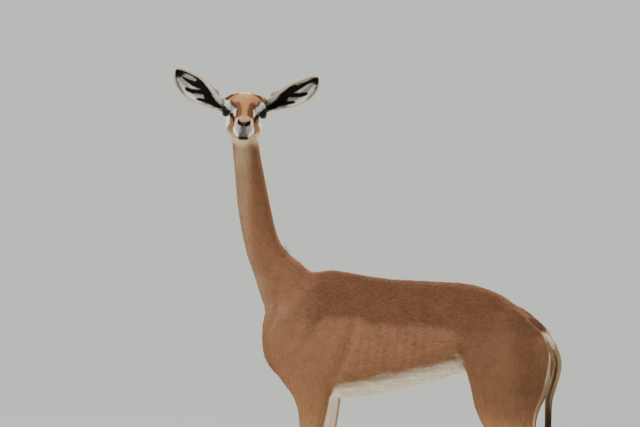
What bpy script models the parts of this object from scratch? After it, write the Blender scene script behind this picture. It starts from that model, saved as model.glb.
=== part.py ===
"""A female gerenuk, life size, standing alert with its head turned to its left.

Metres, +Z up. The body runs along X and faces -X, its own left side is -Y.
The origin is on the floor, under the middle of the whole animal.
"""

import math
import random

import bmesh
import bpy
import numpy as np
from mathutils import Matrix, Vector

# Gap kept between two pieces that touch.
GAP = 0.0004
# Fineness of the two sculpted skins before they are parted.
BODY_VOXEL, BODY_TRIANGLES, BODY_SMOOTHING = 0.005, 3800, 26
HEAD_VOXEL, HEAD_TRIANGLES, HEAD_SMOOTHING = 0.0021, 3120, 16

# Trunk along X, from the breast to the buttocks. x = 0 is under the withers.
# Columns: x, top, bottom, half width, how much narrower the top is, squareness.
TRUNK = (
    (-0.178, 0.790, 0.705, 0.026, 0.00, 2.0),
    (-0.155, 0.848, 0.665, 0.048, 0.05, 2.1),
    (-0.110, 0.880, 0.629, 0.070, 0.12, 2.2),
    (-0.070, 0.906, 0.607, 0.081, 0.18, 2.2),
    (-0.030, 0.9185, 0.599, 0.087, 0.24, 2.2),
    (0.010, 0.9205, 0.597, 0.091, 0.26, 2.2),
    (0.070, 0.910, 0.600, 0.097, 0.22, 2.2),
    (0.140, 0.900, 0.611, 0.104, 0.16, 2.2),
    (0.210, 0.896, 0.628, 0.106, 0.12, 2.2),
    (0.280, 0.893, 0.648, 0.101, 0.10, 2.2),
    (0.350, 0.888, 0.672, 0.094, 0.12, 2.2),
    (0.420, 0.867, 0.690, 0.086, 0.16, 2.2),
    (0.475, 0.830, 0.694, 0.068, 0.20, 2.1),
    (0.512, 0.793, 0.698, 0.050, 0.20, 2.0),
    (0.538, 0.752, 0.706, 0.026, 0.10, 2.0),
)

# Neck in the body's middle plane, from inside the breast to inside the skull.
# Columns: x, z, half depth, half width, turn towards the animal's left in degrees.
NECK = (
    (-0.060, 0.770, 0.085, 0.056, 0.0),
    (-0.095, 0.840, 0.080, 0.055, 0.0),
    (-0.130, 0.895, 0.068, 0.051, 2.0),
    (-0.155, 0.932, 0.0530, 0.0465, 5.0),
    (-0.1755, 0.972, 0.0470, 0.0435, 10.0),
    (-0.190, 1.027, 0.0430, 0.0405, 22.0),
    (-0.202, 1.092, 0.0415, 0.0370, 42.0),
    (-0.2110, 1.155, 0.0395, 0.0345, 62.0),
    (-0.2185, 1.210, 0.0390, 0.0335, 82.0),
    (-0.2230, 1.255, 0.0405, 0.0340, 97.0),
    (-0.2250, 1.300, 0.0400, 0.0340, 100.0),
)

# Legs, seen from the side, top to bottom.
# Columns: x, z, half depth, half width, distance from the middle plane, how much
# narrower the front is than the back.
FORELEG = (
    (-0.010, 0.862, 0.035, 0.016, 0.050, 0.0),
    (-0.040, 0.805, 0.070, 0.024, 0.060, 0.0),
    (-0.060, 0.740, 0.090, 0.030, 0.064, 0.0),
    (-0.055, 0.680, 0.080, 0.032, 0.066, 0.0),
    (-0.040, 0.628, 0.058, 0.029, 0.067, 0.0),
    (-0.034, 0.578, 0.041, 0.0240, 0.067, 0.0),
    (-0.036, 0.515, 0.0305, 0.0205, 0.066, -0.05),
    (-0.041, 0.445, 0.0215, 0.0165, 0.065, -0.05),
    (-0.046, 0.385, 0.0165, 0.0145, 0.064, 0.0),
    (-0.050, 0.352, 0.0190, 0.0170, 0.063, 0.0),
    (-0.050, 0.318, 0.0165, 0.0145, 0.063, 0.0),
    (-0.050, 0.262, 0.0118, 0.0108, 0.062, 0.0),
    (-0.051, 0.180, 0.0112, 0.0106, 0.061, 0.0),
    (-0.051, 0.128, 0.0138, 0.0128, 0.061, 0.0),
    (-0.053, 0.102, 0.0160, 0.0145, 0.061, 0.0),
    (-0.064, 0.070, 0.0128, 0.0132, 0.061, 0.0),
    (-0.076, 0.040, 0.0150, 0.0158, 0.061, 0.0),
    (-0.084, 0.018, 0.0165, 0.0160, 0.061, 0.0),
)
HINDLEG = (
    (0.440, 0.830, 0.028, 0.018, 0.040, 0.0),
    (0.446, 0.800, 0.060, 0.032, 0.049, 0.0),
    (0.450, 0.762, 0.092, 0.038, 0.055, 0.0),
    (0.4525, 0.722, 0.1105, 0.042, 0.059, 0.0),
    (0.453, 0.655, 0.102, 0.041, 0.062, 0.0),
    (0.449, 0.590, 0.081, 0.035, 0.064, 0.05),
    (0.459, 0.530, 0.059, 0.0275, 0.065, 0.10),
    (0.482, 0.470, 0.0405, 0.0205, 0.065, 0.0),
    (0.506, 0.418, 0.0300, 0.0165, 0.065, -0.15),
    (0.523, 0.378, 0.0265, 0.0172, 0.065, -0.15),
    (0.522, 0.335, 0.0205, 0.0150, 0.064, 0.0),
    (0.512, 0.262, 0.0135, 0.0112, 0.063, 0.0),
    (0.503, 0.180, 0.0125, 0.0108, 0.062, 0.0),
    (0.498, 0.128, 0.0145, 0.0130, 0.062, 0.0),
    (0.494, 0.102, 0.0165, 0.0148, 0.062, 0.0),
    (0.482, 0.070, 0.0130, 0.0135, 0.062, 0.0),
    (0.470, 0.040, 0.0152, 0.0160, 0.062, 0.0),
    (0.462, 0.018, 0.0165, 0.0160, 0.062, 0.0),
)
# How far each foot stands before (-) or behind (+) its natural place.
STANCE = {
    "foreleg_left": -0.022,
    "foreleg_right": 0.026,
    "hindleg_left": 0.030,
    "hindleg_right": -0.034,
}
STANCE_TOP = 0.66
SIDES = (("left", -1), ("right", 1))
# Points round one section, in the fused skin and in the pieces left as turned.
SKIN_SIDES, THICK_LEG_SIDES = 32, 24
LEG_SIDES, NECK_SIDES, CLAW_SIDES, DEWCLAW_SIDES = 12, 20, 12, 8

# The fused skin holds the legs down to here, evened out over the first pair of
# heights and no longer over the second, where the neck stands free.
THICK_LEG_END = 0.37
SMOOTH_FROM, SMOOTH_TO = (0.575, 0.65), (0.97, 1.03)

# Heights at which each leg is parted, from the top down.
FORE_CUTS = {"forearm": (0.560, 0.372), "cannon": (0.372, 0.122), "pastern": (0.122, 0.0)}
HIND_CUTS = {"gaskin": (0.500, 0.338), "cannon": (0.338, 0.122), "pastern": (0.122, 0.0)}

# Wedges that part the upper legs from the trunk.
# Columns: distance from the middle plane, z, front edge and back edge.
FORE_WEDGE = (
    (0.010, 0.400, -0.250, 0.034),
    (0.010, 0.592, -0.250, 0.034),
    (0.058, 0.700, -0.250, 0.060),
    (0.160, 0.752, -0.250, 0.072),
    (0.160, 0.400, -0.250, 0.034),
)
HIND_WEDGE = (
    (0.004, 0.350, 0.300, 0.700),
    (0.004, 0.645, 0.300, 0.700),
    (0.050, 0.748, 0.325, 0.700),
    (0.160, 0.800, 0.350, 0.700),
    (0.160, 0.350, 0.300, 0.700),
)
# Planes across the trunk, by x, and across the neck, by the height of its middle.
CHEST_END = 0.100
BARREL_END = 0.268
NECK_BASE, NECK_MIDDLE, NECK_TOP = 0.985, 1.105, 1.222
NECK_IN_HEAD = 1.19

# One claw of a hoof, from the sole up.
# Columns: z, x from the foot's middle, half length, half width, toe narrowing.
CLAW = (
    (0.000, -0.0050, 0.0255, 0.0076, 0.38),
    (0.011, -0.0030, 0.0235, 0.0079, 0.32),
    (0.045, 0.0050, 0.0160, 0.0078, 0.12),
)
CLAW_APART = 0.0086
CORONET_HEIGHT = 0.029
CORONET_SLOPE = math.radians(20)
DEWCLAW_HEIGHT = 0.083
DEWCLAW_LENGTH = 0.015
DEWCLAW_RADIUS = 0.0048
DEWCLAW_WAY = (0.62, 0, -0.78)
# How far from the leg's middle it starts, as shares of the leg's half depth and width.
DEWCLAW_BACK, DEWCLAW_APART = 0.72, 0.52
# Columns: share of the length, share of the radius.
DEWCLAW = ((0.0, 0.75), (0.45, 1.0), (0.8, 0.8), (1.0, 0.4))

# Head. Its own axes: side (to the animal's left), forward (to the nose), up.
HEAD_AT = Vector((-0.2210, 0.004, 1.3600))
HEAD_YAW = math.radians(11.0)
HEAD_PITCH = math.radians(11.2)
HEAD_ROLL = math.radians(3.5)
# Columns: forward, top, bottom, half width, how much narrower the top is, squareness.
SKULL = (
    (-0.047, -0.036, -0.080, 0.017, 0.0, 2.0),
    (-0.030, -0.013, -0.096, 0.030, 0.0, 2.1),
    (0.000, 0.000, -0.105, 0.0370, -0.04, 2.4),
    (0.034, 0.001, -0.106, 0.0400, 0.04, 2.4),
    (0.066, -0.002, -0.100, 0.0405, 0.12, 2.3),
    (0.092, -0.007, -0.091, 0.0340, 0.16, 2.2),
    (0.120, -0.0130, -0.0850, 0.0275, 0.10, 2.2),
    (0.148, -0.0175, -0.0825, 0.0250, 0.04, 2.2),
    (0.172, -0.0205, -0.0820, 0.0240, 0.00, 2.2),
    (0.189, -0.0255, -0.0800, 0.0210, 0.00, 2.1),
    (0.199, -0.0360, -0.0700, 0.0125, 0.00, 2.0),
)
# Rounded forms on the head: side, forward, up, and the three radii the same way.
# Those with a side of 0 lie on the middle line, and the others are on both sides.
HEAD_FORMS = (
    (0.000, 0.002, -0.0145, 0.0385, 0.038, 0.0160),
    (0.030, 0.060, -0.0205, 0.0165, 0.030, 0.0140),
    (0.031, 0.030, -0.034, 0.0150, 0.034, 0.0220),
    (0.026, 0.092, -0.046, 0.0130, 0.030, 0.0190),
    (0.031, 0.026, -0.070, 0.0165, 0.042, 0.0330),
    (0.034, -0.006, -0.036, 0.0160, 0.020, 0.0230),
    (0.0140, 0.172, -0.0560, 0.0130, 0.0220, 0.0180),
    (0.000, 0.190, -0.0320, 0.0155, 0.0118, 0.0110),
    (0.000, 0.176, -0.0765, 0.0145, 0.0165, 0.0080),
)
EYE_AT = (0.0385, 0.066, -0.0345)
EYE_RADIUS = 0.0168
EYE_OUTWARD = (0.86, 0.48, 0.16)
LID_THICKNESS = 0.0020
LID_OPENING = (0.0148, 0.0098)
EYE_SEGMENTS, NOSTRIL_SEGMENTS, LID_POINTS = 16, 10, 16

# The closed lips: where the line starts and ends forward, how low it lies at both,
# and the half width of the muzzle at four places forward.
MOUTH_CORNER, MOUTH_FRONT = 0.120, 0.1935
MOUTH_DROP_CORNER, MOUTH_DROP_FRONT = -0.0655, -0.0725
MOUTH_WIDTHS = ((0.120, 0.150, 0.176, 0.1935), (0.0260, 0.0245, 0.0205, 0.0130))
NOSTRIL_AT = (0.0100, 0.1970, -0.0325)
NOSTRIL_RADII = (0.0024, 0.0060, 0.0052)
NOSTRIL_TILT = math.radians(32)
MOUTH_POINTS = 19
MOUTH_MIDDLE = (0, 0.13, -0.069)
GROOVE_IN, GROOVE_OUT, GROOVE_HALF = 0.0035, 0.0080, 0.0010

EAR_LENGTH = 0.170
EAR_ROOT = (0.0355, -0.004, -0.0435)
# Columns: share of the length, half width, depth of the cup, half angle of the arc,
# how far the middle hangs below the line from root to tip.
EAR = (
    (0.00, 0.0235, 0.0330, 166.0, 0.000),
    (0.12, 0.0265, 0.0320, 156.0, 0.001),
    (0.28, 0.0285, 0.0270, 126.0, 0.003),
    (0.45, 0.0305, 0.0215, 98.0, 0.0075),
    (0.60, 0.0325, 0.0172, 80.0, 0.0110),
    (0.75, 0.0298, 0.0130, 68.0, 0.0115),
    (0.88, 0.0225, 0.0070, 56.0, 0.0080),
    (0.96, 0.0135, 0.0035, 46.0, 0.0035),
    (1.00, 0.0040, 0.0012, 36.0, 0.000),
)
EAR_THICKNESS = 0.0026
EAR_POINTS = 9
# For each ear, in the head's axes: the line from root to tip, and where its cup opens.
EAR_TOWARDS = {"left": (0.857, -0.06, 0.535), "right": (0.85, -0.25, 0.485)}
EAR_OPENS = {"left": (0.10, 0.93, -0.35), "right": (0.10, 0.98, -0.15)}

# Tail: x, z and half width of the fleshy part, which hangs behind the buttocks.
TAIL = (
    (0.462, 0.806, 0.0120),
    (0.506, 0.797, 0.0130),
    (0.534, 0.771, 0.0125),
    (0.553, 0.746, 0.0120),
    (0.5675, 0.716, 0.0112),
    (0.5725, 0.690, 0.0105),
    (0.5690, 0.662, 0.0100),
    (0.5600, 0.632, 0.0092),
    (0.5500, 0.595, 0.0080),
)
TAIL_FLATNESS, TAIL_SIDES = 0.85, 12
# The tuft on its tip. Tiers: start as a share of the tuft's length, locks, turn of the
# tier in steps, and lock length as a share of the tuft's length.
TUFT_LENGTH = 0.110
TUFT_TIERS = ((0.00, 6, 0.0, 0.62), (0.17, 6, 0.5, 0.66), (0.34, 5, 0.2, 0.64))
TUFT_SEED = 7
# The core that the locks grow from: share of the tuft's length, share of the tail's end.
TUFT_CORE = ((0.0, 1.0), (0.15, 1.25), (0.3, 1.1), (0.45, 0.55))
# How deep the roots sit, how the locks leave and where they turn to.
ROOT_IN, ROOT_OUT = 0.003, 0.62
LOCK_TURN, LOCK_LEAVE, LOCK_AIM, LOCK_REACH = 0.12, (0.30, 0.46), (0.02, 0.14), (0.92, 1.06)
LOCK_STEPS = 5
LOCK_HALF_WIDTH = 0.0052
LOCK_FLATNESS = 0.36
LOCK_TIP = 0.0004

COAT = (0.50, 0.27, 0.14, 1.0)
BACK = (0.42, 0.20, 0.10, 1.0)
DARK = (0.06, 0.045, 0.04, 1.0)
HORN = (0.10, 0.08, 0.07, 1.0)
EYE = (0.02, 0.014, 0.01, 1.0)
COAT_ROUGHNESS, HORN_ROUGHNESS, EYE_ROUGHNESS = 0.75, 0.45, 0.05


def clear_scene():
    for obj in list(bpy.data.objects):
        bpy.data.objects.remove(obj)


def material(name, colour, roughness):
    """A plain finish with the part's colour."""
    found = bpy.data.materials.get(name)
    if found:
        return found
    made = bpy.data.materials.new(name)
    made.use_nodes = True
    shader = made.node_tree.nodes["Principled BSDF"]
    shader.inputs["Base Color"].default_value = colour
    shader.inputs["Roughness"].default_value = roughness
    shader.inputs["Metallic"].default_value = 0.0
    made.diffuse_color = colour
    return made


def add_object(name, bm):
    """Puts a bmesh in the scene as an object, with its faces pointing out."""
    bmesh.ops.recalc_face_normals(bm, faces=bm.faces[:])
    mesh = bpy.data.meshes.new(name)
    bm.to_mesh(mesh)
    bm.free()
    obj = bpy.data.objects.new(name, mesh)
    bpy.context.scene.collection.objects.link(obj)
    return obj


def copy_of(obj, name):
    twin = bpy.data.objects.new(name, obj.data.copy())
    bpy.context.scene.collection.objects.link(twin)
    return twin


def remove(*objects):
    for obj in objects:
        bpy.data.objects.remove(obj)


def denser(rows, steps):
    """The rows and steps - 1 more between each two, on a Catmull-Rom curve."""
    table = np.array(rows, float)
    padded = np.vstack([2 * table[0] - table[1], table, 2 * table[-1] - table[-2]])
    out = []
    for i in range(1, len(padded) - 2):
        a, b, c, d = padded[i - 1 : i + 3]
        for k in range(steps):
            t = k / steps
            out.append(
                0.5 * (2 * b + (c - a) * t + (2 * a - 5 * b + 4 * c - d) * t**2
                       + (3 * b - a - 3 * c + d) * t**3)
            )
    out.append(table[-1])
    return np.array(out)


def ring(centre, side, front, half_side, half_front, taper, power, count):
    """Points of one cross-section, narrower towards its front by taper."""
    points = []
    for k in range(count):
        angle = 2 * math.pi * k / count
        c, s = math.cos(angle), math.sin(angle)
        across = math.copysign(abs(c) ** (2 / power), c)
        along = math.copysign(abs(s) ** (2 / power), s)
        width = half_side * (1 - taper * along)
        points.append(centre + side * (width * across) + front * (half_front * along))
    return points


def tube(name, rings):
    """A closed solid through rings that have the same number of points."""
    bm = bmesh.new()
    loops = [[bm.verts.new(p) for p in points] for points in rings]
    count = len(loops[0])
    for low, high in zip(loops, loops[1:]):
        for k in range(count):
            after = (k + 1) % count
            bm.faces.new((low[k], low[after], high[after], high[k]))
    bm.faces.new(loops[0])
    bm.faces.new(loops[-1])
    return add_object(name, bm)


def tangents(points):
    ways = np.gradient(np.array(points, float), axis=0)
    return [Vector(way).normalized() for way in ways]


def ball(name, matrix, radii, segments=32):
    bm = bmesh.new()
    bmesh.ops.create_uvsphere(
        bm,
        u_segments=segments,
        v_segments=segments // 2,
        radius=1.0,
        matrix=matrix @ Matrix.Diagonal((*radii, 1.0)),
    )
    return add_object(name, bm)


def hull(name, points):
    bm = bmesh.new()
    verts = [bm.verts.new(p) for p in points]
    bmesh.ops.convex_hull(bm, input=verts)
    return add_object(name, bm)


def bake(obj):
    """Makes what the modifiers give the object's own mesh."""
    bpy.context.view_layer.update()
    graph = bpy.context.evaluated_depsgraph_get()
    mesh = bpy.data.meshes.new_from_object(obj.evaluated_get(graph))
    obj.modifiers.clear()
    obj.data = mesh


def boolean(obj, other, operation):
    modifier = obj.modifiers.new(operation, "BOOLEAN")
    modifier.operation = operation
    modifier.solver = "EXACT"
    modifier.object = other
    bake(obj)


def fused(name, objects, voxel):
    """One closed skin round closed shapes that overlap."""
    bm = bmesh.new()
    for obj in objects:
        bm.from_mesh(obj.data)
    remove(*objects)
    whole = add_object(name, bm)
    modifier = whole.modifiers.new("skin", "REMESH")
    modifier.mode = "VOXEL"
    modifier.voxel_size = voxel
    bake(whole)
    return whole


def relax(obj, rounds, share):
    """Evens the surface out, each point by the share of its place."""
    mesh = obj.data
    points = np.empty(len(mesh.vertices) * 3)
    mesh.vertices.foreach_get("co", points)
    points = points.reshape(-1, 3)
    ends = np.empty(len(mesh.edges) * 2, np.int64)
    mesh.edges.foreach_get("vertices", ends)
    first, second = ends.reshape(-1, 2).T
    near = np.bincount(ends, minlength=len(points))[:, None]
    weight = share(points)[:, None]
    for _ in range(rounds):
        total = np.empty_like(points)
        for axis in range(3):
            total[:, axis] = np.bincount(
                first, points[second, axis], len(points)
            ) + np.bincount(second, points[first, axis], len(points))
        points = points + 0.6 * weight * (total / near - points)
    mesh.vertices.foreach_set("co", points.ravel())
    mesh.update()


def step_between(values, low, high):
    """0 under low, 1 over high, smooth between."""
    t = np.clip((values - low) / (high - low), 0, 1)
    return t * t * (3 - 2 * t)


def thin_out(obj, triangles):
    """Fewer triangles, kept where the form needs them."""
    obj.data.calc_loop_triangles()
    modifier = obj.modifiers.new("fewer", "DECIMATE")
    modifier.ratio = min(1.0, triangles / len(obj.data.loop_triangles))
    modifier.use_collapse_triangulate = True
    bake(obj)


def cut(obj, point, normal):
    """Keeps what lies on the normal's side of a plane, with a flat face there."""
    bm = bmesh.new()
    bm.from_mesh(obj.data)
    bmesh.ops.bisect_plane(
        bm,
        geom=bm.verts[:] + bm.edges[:] + bm.faces[:],
        dist=1e-6,
        plane_co=point,
        plane_no=normal,
        clear_inner=True,
    )
    edge = [e for e in bm.edges if e.is_boundary]
    bmesh.ops.holes_fill(bm, edges=edge, sides=0)
    bmesh.ops.triangulate(bm, faces=[f for f in bm.faces if len(f.verts) > 4])
    bmesh.ops.recalc_face_normals(bm, faces=bm.faces[:])
    bm.to_mesh(obj.data)
    bm.free()


def between(obj, upper, lower):
    """Keeps the stretch under one plane and over another, half a gap inside each."""
    (high, high_way), (low, low_way) = upper, lower
    cut(obj, Vector(high) - Vector(high_way) * GAP / 2, -Vector(high_way))
    cut(obj, Vector(low) + Vector(low_way) * GAP / 2, Vector(low_way))


def grown(obj, distance):
    """A copy with its surface moved outwards."""
    twin = copy_of(obj, obj.name + "_grown")
    normals = [v.normal.copy() for v in twin.data.vertices]
    for v, n in zip(twin.data.vertices, normals):
        v.co += n * distance
    return twin


def keep_largest(obj):
    """Drops loose scraps and sealed hollows that a cut leaves."""
    bm = bmesh.new()
    bm.from_mesh(obj.data)
    left = set(bm.verts)
    shells = []
    while left:
        stack = [left.pop()]
        shell = set(stack)
        while stack:
            for edge in stack.pop().link_edges:
                for v in edge.verts:
                    if v in left:
                        left.remove(v)
                        shell.add(v)
                        stack.append(v)
        shells.append(shell)
    shells.sort(key=len)
    for shell in shells[:-1]:
        bmesh.ops.delete(bm, geom=list(shell), context="VERTS")
    bm.to_mesh(obj.data)
    bm.free()


def finish(obj, finish_material, sharp=40):
    keep_largest(obj)
    obj.data.materials.clear()
    obj.data.materials.append(finish_material)
    obj.data.shade_smooth()
    obj.data.set_sharp_from_angle(angle=math.radians(sharp))


def make_trunk():
    rows = denser(TRUNK, 3)
    side, up = Vector((0, 1, 0)), Vector((0, 0, 1))
    rings = []
    for x, top, bottom, half_width, taper, power in rows:
        centre = Vector((x, 0, (top + bottom) / 2))
        half_height = (top - bottom) / 2
        half_sizes = (half_width, half_height)
        rings.append(ring(centre, side, up, *half_sizes, taper, power, SKIN_SIDES))
    return tube("trunk", rings)


def neck_frames(steps):
    """For each section of the neck: centre, side, front, half width, half depth."""
    rows = denser(NECK, steps)
    ways = tangents([(x, 0, z) for x, z, *_ in rows])
    frames = []
    for (x, z, half_depth, half_width, turn), way in zip(rows, ways):
        twist = Matrix.Rotation(math.radians(turn), 3, way)
        side = twist @ Vector((0, 1, 0))
        front = twist @ Vector((0, 1, 0)).cross(way)
        frames.append((Vector((x, 0, z)), side, front, half_width, half_depth, way))
    return frames


def make_neck(name, count, steps):
    rings = [
        ring(centre, side, front, half_width, half_depth, -0.04, 2.15, count)
        for centre, side, front, half_width, half_depth, _ in neck_frames(steps)
    ]
    return tube(name, rings)


def neck_plane(height):
    """The plane across the neck where its middle line passes a height."""
    frames = neck_frames(6)
    nearest = min(frames, key=lambda frame: abs(frame[0].z - height))
    return nearest[0], nearest[-1]


def leg_rows(rows, stance, steps):
    """Denser rows with the foot moved along X, and more so the lower it is."""
    table = denser(rows, steps)
    table[:, 0] += stance * np.clip(1 - table[:, 1] / STANCE_TOP, 0, 1)
    return table


def make_leg(name, rows, stance, outward, count, steps):
    table = leg_rows(rows, stance, steps)
    ways = tangents([(x, outward * away, z) for x, z, _, _, away, _ in table])
    side = Vector((0, 1, 0))
    rings = []
    for (x, z, half_depth, half_width, away, taper), way in zip(table, ways):
        front = side.cross(way).normalized()
        if front.x > 0:
            front = -front
        centre = Vector((x, outward * away, z))
        rings.append(ring(centre, side, front, half_width, half_depth, taper, 2.1, count))
    return tube(name, rings)


def leg_cutter(name, corners, outward, grow):
    """A wedge that takes a leg's upper part off the trunk, grown towards the trunk."""
    points = []
    for away, z, front, back in corners:
        for x in (front - grow, back + grow):
            points.append((x, outward * (away - grow), z + grow))
    return hull(name, points)


def make_body():
    """Trunk, neck and the upper legs in one skin, evened out where they meet."""
    pieces = [make_trunk(), make_neck("neck", SKIN_SIDES, 3)]
    for side_name, outward in SIDES:
        for leg, rows in (("foreleg", FORELEG), ("hindleg", HINDLEG)):
            stance = STANCE[f"{leg}_{side_name}"]
            upper = [row for row in rows if row[1] > THICK_LEG_END]
            sides = THICK_LEG_SIDES
            pieces.append(make_leg(f"{leg}_{side_name}", upper, stance, outward, sides, 3))
    body = fused("body", pieces, BODY_VOXEL)

    def share(points):
        z = points[:, 2]
        return step_between(z, *SMOOTH_FROM) * (1 - step_between(z, *SMOOTH_TO))

    relax(body, BODY_SMOOTHING, share)
    thin_out(body, BODY_TRIANGLES)
    return body


def part_body(body):
    """Cuts the body into chest, barrel, rump, neck and the upper legs."""
    along = Vector((1, 0, 0))
    base, base_way = neck_plane(NECK_BASE)

    front = copy_of(body, "chest")
    cut(front, (CHEST_END - GAP / 2, 0, 0), -along)
    middle = copy_of(body, "barrel")
    cut(middle, (CHEST_END + GAP / 2, 0, 0), along)
    cut(middle, (BARREL_END - GAP / 2, 0, 0), -along)
    back = copy_of(body, "rump")
    cut(back, (BARREL_END + GAP / 2, 0, 0), along)

    neck = copy_of(front, "neck_lower")
    between(neck, neck_plane(NECK_MIDDLE), (base, base_way))
    cut(front, base - base_way * GAP / 2, -base_way)

    for source, leg, wedge, name, floor in (
        (front, "foreleg", FORE_WEDGE, "shoulder", FORE_CUTS["forearm"][0]),
        (back, "hindleg", HIND_WEDGE, "thigh", HIND_CUTS["gaskin"][0]),
    ):
        uncut = copy_of(source, "uncut")
        for side_name, outward in SIDES:
            cutter = leg_cutter("wedge", wedge, outward, 0)
            upper = copy_of(uncut, f"{leg}_{side_name}_{name}")
            boolean(upper, cutter, "INTERSECT")
            cut(upper, (0, 0, floor + GAP / 2), (0, 0, 1))
            finish(upper, material("coat", COAT, COAT_ROUGHNESS))
            wide = leg_cutter("wide wedge", wedge, outward, GAP)
            boolean(source, wide, "DIFFERENCE")
            remove(cutter, wide)
        remove(uncut)
    remove(body)
    finish(middle, material("back", BACK, COAT_ROUGHNESS))
    for obj in (front, back, neck):
        finish(obj, material("coat", COAT, COAT_ROUGHNESS))
    return back


def foot_middle(rows, stance):
    """Where the foot's middle is on the floor: x and distance from the middle plane."""
    table = leg_rows(rows, stance, 3)
    return float(table[-1][0]), float(table[-1][4])


def make_lower_legs():
    level = Vector((0, 0, 1))
    slope = Vector((math.sin(CORONET_SLOPE), 0, math.cos(CORONET_SLOPE)))
    for side_name, outward in SIDES:
        for leg, rows, cuts in (
            ("foreleg", FORELEG, FORE_CUTS),
            ("hindleg", HINDLEG, HIND_CUTS),
        ):
            label = f"{leg}_{side_name}"
            stance = STANCE[label]
            whole = make_leg("whole", rows, stance, outward, LEG_SIDES, 2)
            foot_x, away = foot_middle(rows, stance)
            coronet = (Vector((foot_x, 0, CORONET_HEIGHT)), slope)
            for name, (top, bottom) in cuts.items():
                piece = copy_of(whole, f"{label}_{name}")
                low = coronet if name == "pastern" else ((0, 0, bottom), level)
                between(piece, ((0, 0, top), level), low)
                if name == "pastern":
                    add_dewclaws(piece, label, rows, stance, outward)
                finish(piece, material("coat", COAT, COAT_ROUGHNESS))
            remove(whole)
            for claw, shift in (("inner", -CLAW_APART), ("outer", CLAW_APART)):
                middle = Vector((foot_x, outward * (away + shift), 0))
                make_claw(f"{label}_claw_{claw}", middle, coronet)


def make_claw(name, middle, coronet):
    side, front = Vector((0, 1, 0)), Vector((-1, 0, 0))
    rings = []
    for z, x, half_length, half_width, taper in CLAW:
        centre = middle + Vector((x, 0, z))
        half_sizes = (half_width, half_length)
        rings.append(ring(centre, side, front, *half_sizes, taper, 2.0, CLAW_SIDES))
    claw = tube(name, rings)
    point, slope = coronet
    cut(claw, point - slope * GAP / 2, -slope)
    finish(claw, material("horn", HORN, HORN_ROUGHNESS))


def add_dewclaws(pastern, label, rows, stance, outward):
    """Two small claws behind the fetlock, let into the flesh."""
    table = leg_rows(rows, stance, 3)
    row = min(table, key=lambda r: abs(r[1] - DEWCLAW_HEIGHT))
    x, z, half_depth, half_width, away = row[:5]
    side = Vector((0, 1, 0))
    way = Vector(DEWCLAW_WAY).normalized()
    front = side.cross(way)
    for claw, sign in (("inner", -1), ("outer", 1)):
        apart = outward * (away + sign * half_width * DEWCLAW_APART)
        root = Vector((x + half_depth * DEWCLAW_BACK, apart, z))
        rings = []
        for share, size in DEWCLAW:
            radius = DEWCLAW_RADIUS * size
            centre = root + way * (DEWCLAW_LENGTH * share)
            half_sizes = (radius, radius * 0.8)
            rings.append(ring(centre, side, front, *half_sizes, 0, 2.0, DEWCLAW_SIDES))
        dewclaw = tube(f"{label}_dewclaw_{claw}", rings)
        room = grown(dewclaw, GAP)
        boolean(pastern, room, "DIFFERENCE")
        remove(room)
        finish(dewclaw, material("horn", HORN, HORN_ROUGHNESS))


def head_matrix():
    """Head axes to world: side, forward and up as X, Y and Z."""
    flat = Vector((math.sin(HEAD_YAW), -math.cos(HEAD_YAW), 0))
    forward = flat * math.cos(HEAD_PITCH) - Vector((0, 0, math.sin(HEAD_PITCH)))
    side = Vector((math.cos(HEAD_YAW), math.sin(HEAD_YAW), 0))
    up = forward.cross(side)
    roll = Matrix.Rotation(-HEAD_ROLL, 3, forward)
    side, up = roll @ side, roll @ up
    turn = Matrix((side, forward, up)).transposed().to_4x4()
    return Matrix.Translation(HEAD_AT) @ turn


def make_skull_form(axes):
    turn = axes.to_3x3()
    side, up = turn @ Vector((1, 0, 0)), turn @ Vector((0, 0, 1))
    rings = []
    for forward, top, bottom, half_width, taper, power in denser(SKULL, 3):
        centre = axes @ Vector((0, forward, (top + bottom) / 2))
        half = (top - bottom) / 2
        rings.append(ring(centre, side, up, half_width, half, taper, power, SKIN_SIDES))
    return tube("skull", rings)


def mirrored(place, sign):
    return (place[0] * sign, place[1], place[2])


def eye_axes(axes, sign):
    """Axes at an eye: X along the lids, Y up, Z outwards."""
    out = Vector(mirrored(EYE_OUTWARD, sign)).normalized()
    along = Vector((0, 0, 1)).cross(out).normalized()
    up = out.cross(along)
    turn = Matrix((along, up, out)).transposed().to_4x4()
    return axes @ Matrix.Translation(mirrored(EYE_AT, sign)) @ turn


def mouth_path():
    """Points round the muzzle along the closed lips, in the head's axes."""
    points = []
    for k in range(MOUTH_POINTS):
        share = k / (MOUTH_POINTS - 1) * 2 - 1
        forward = MOUTH_CORNER + (MOUTH_FRONT - MOUTH_CORNER) * (1 - abs(share) ** 2.6)
        half = np.interp(forward, MOUTH_WIDTHS[0], MOUTH_WIDTHS[1])
        side = math.copysign(half * min(1, abs(share) * 2.4) ** 0.6, share)
        drop = MOUTH_DROP_FRONT + (MOUTH_DROP_CORNER - MOUTH_DROP_FRONT) * abs(share) ** 2
        points.append(Vector((side, forward, drop)))
    return points


def make_mouth_groove(axes):
    """A thin wedge along the lips, to be cut from the head."""
    path = [axes @ p for p in mouth_path()]
    up = axes.to_3x3() @ Vector((0, 0, 1))
    rings = []
    for point, way in zip(path, tangents(path)):
        out = way.cross(up).normalized()
        if out.dot(point - axes @ Vector(MOUTH_MIDDLE)) < 0:
            out = -out
        lift = up * GROOVE_HALF
        corners = [point - out * GROOVE_IN]
        for away, rise in ((0.003, lift), (GROOVE_OUT, lift), (GROOVE_OUT, -lift), (0.003, -lift)):
            corners.append(point + out * away + rise)
        rings.append(corners)
    return tube("mouth groove", rings)


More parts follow.
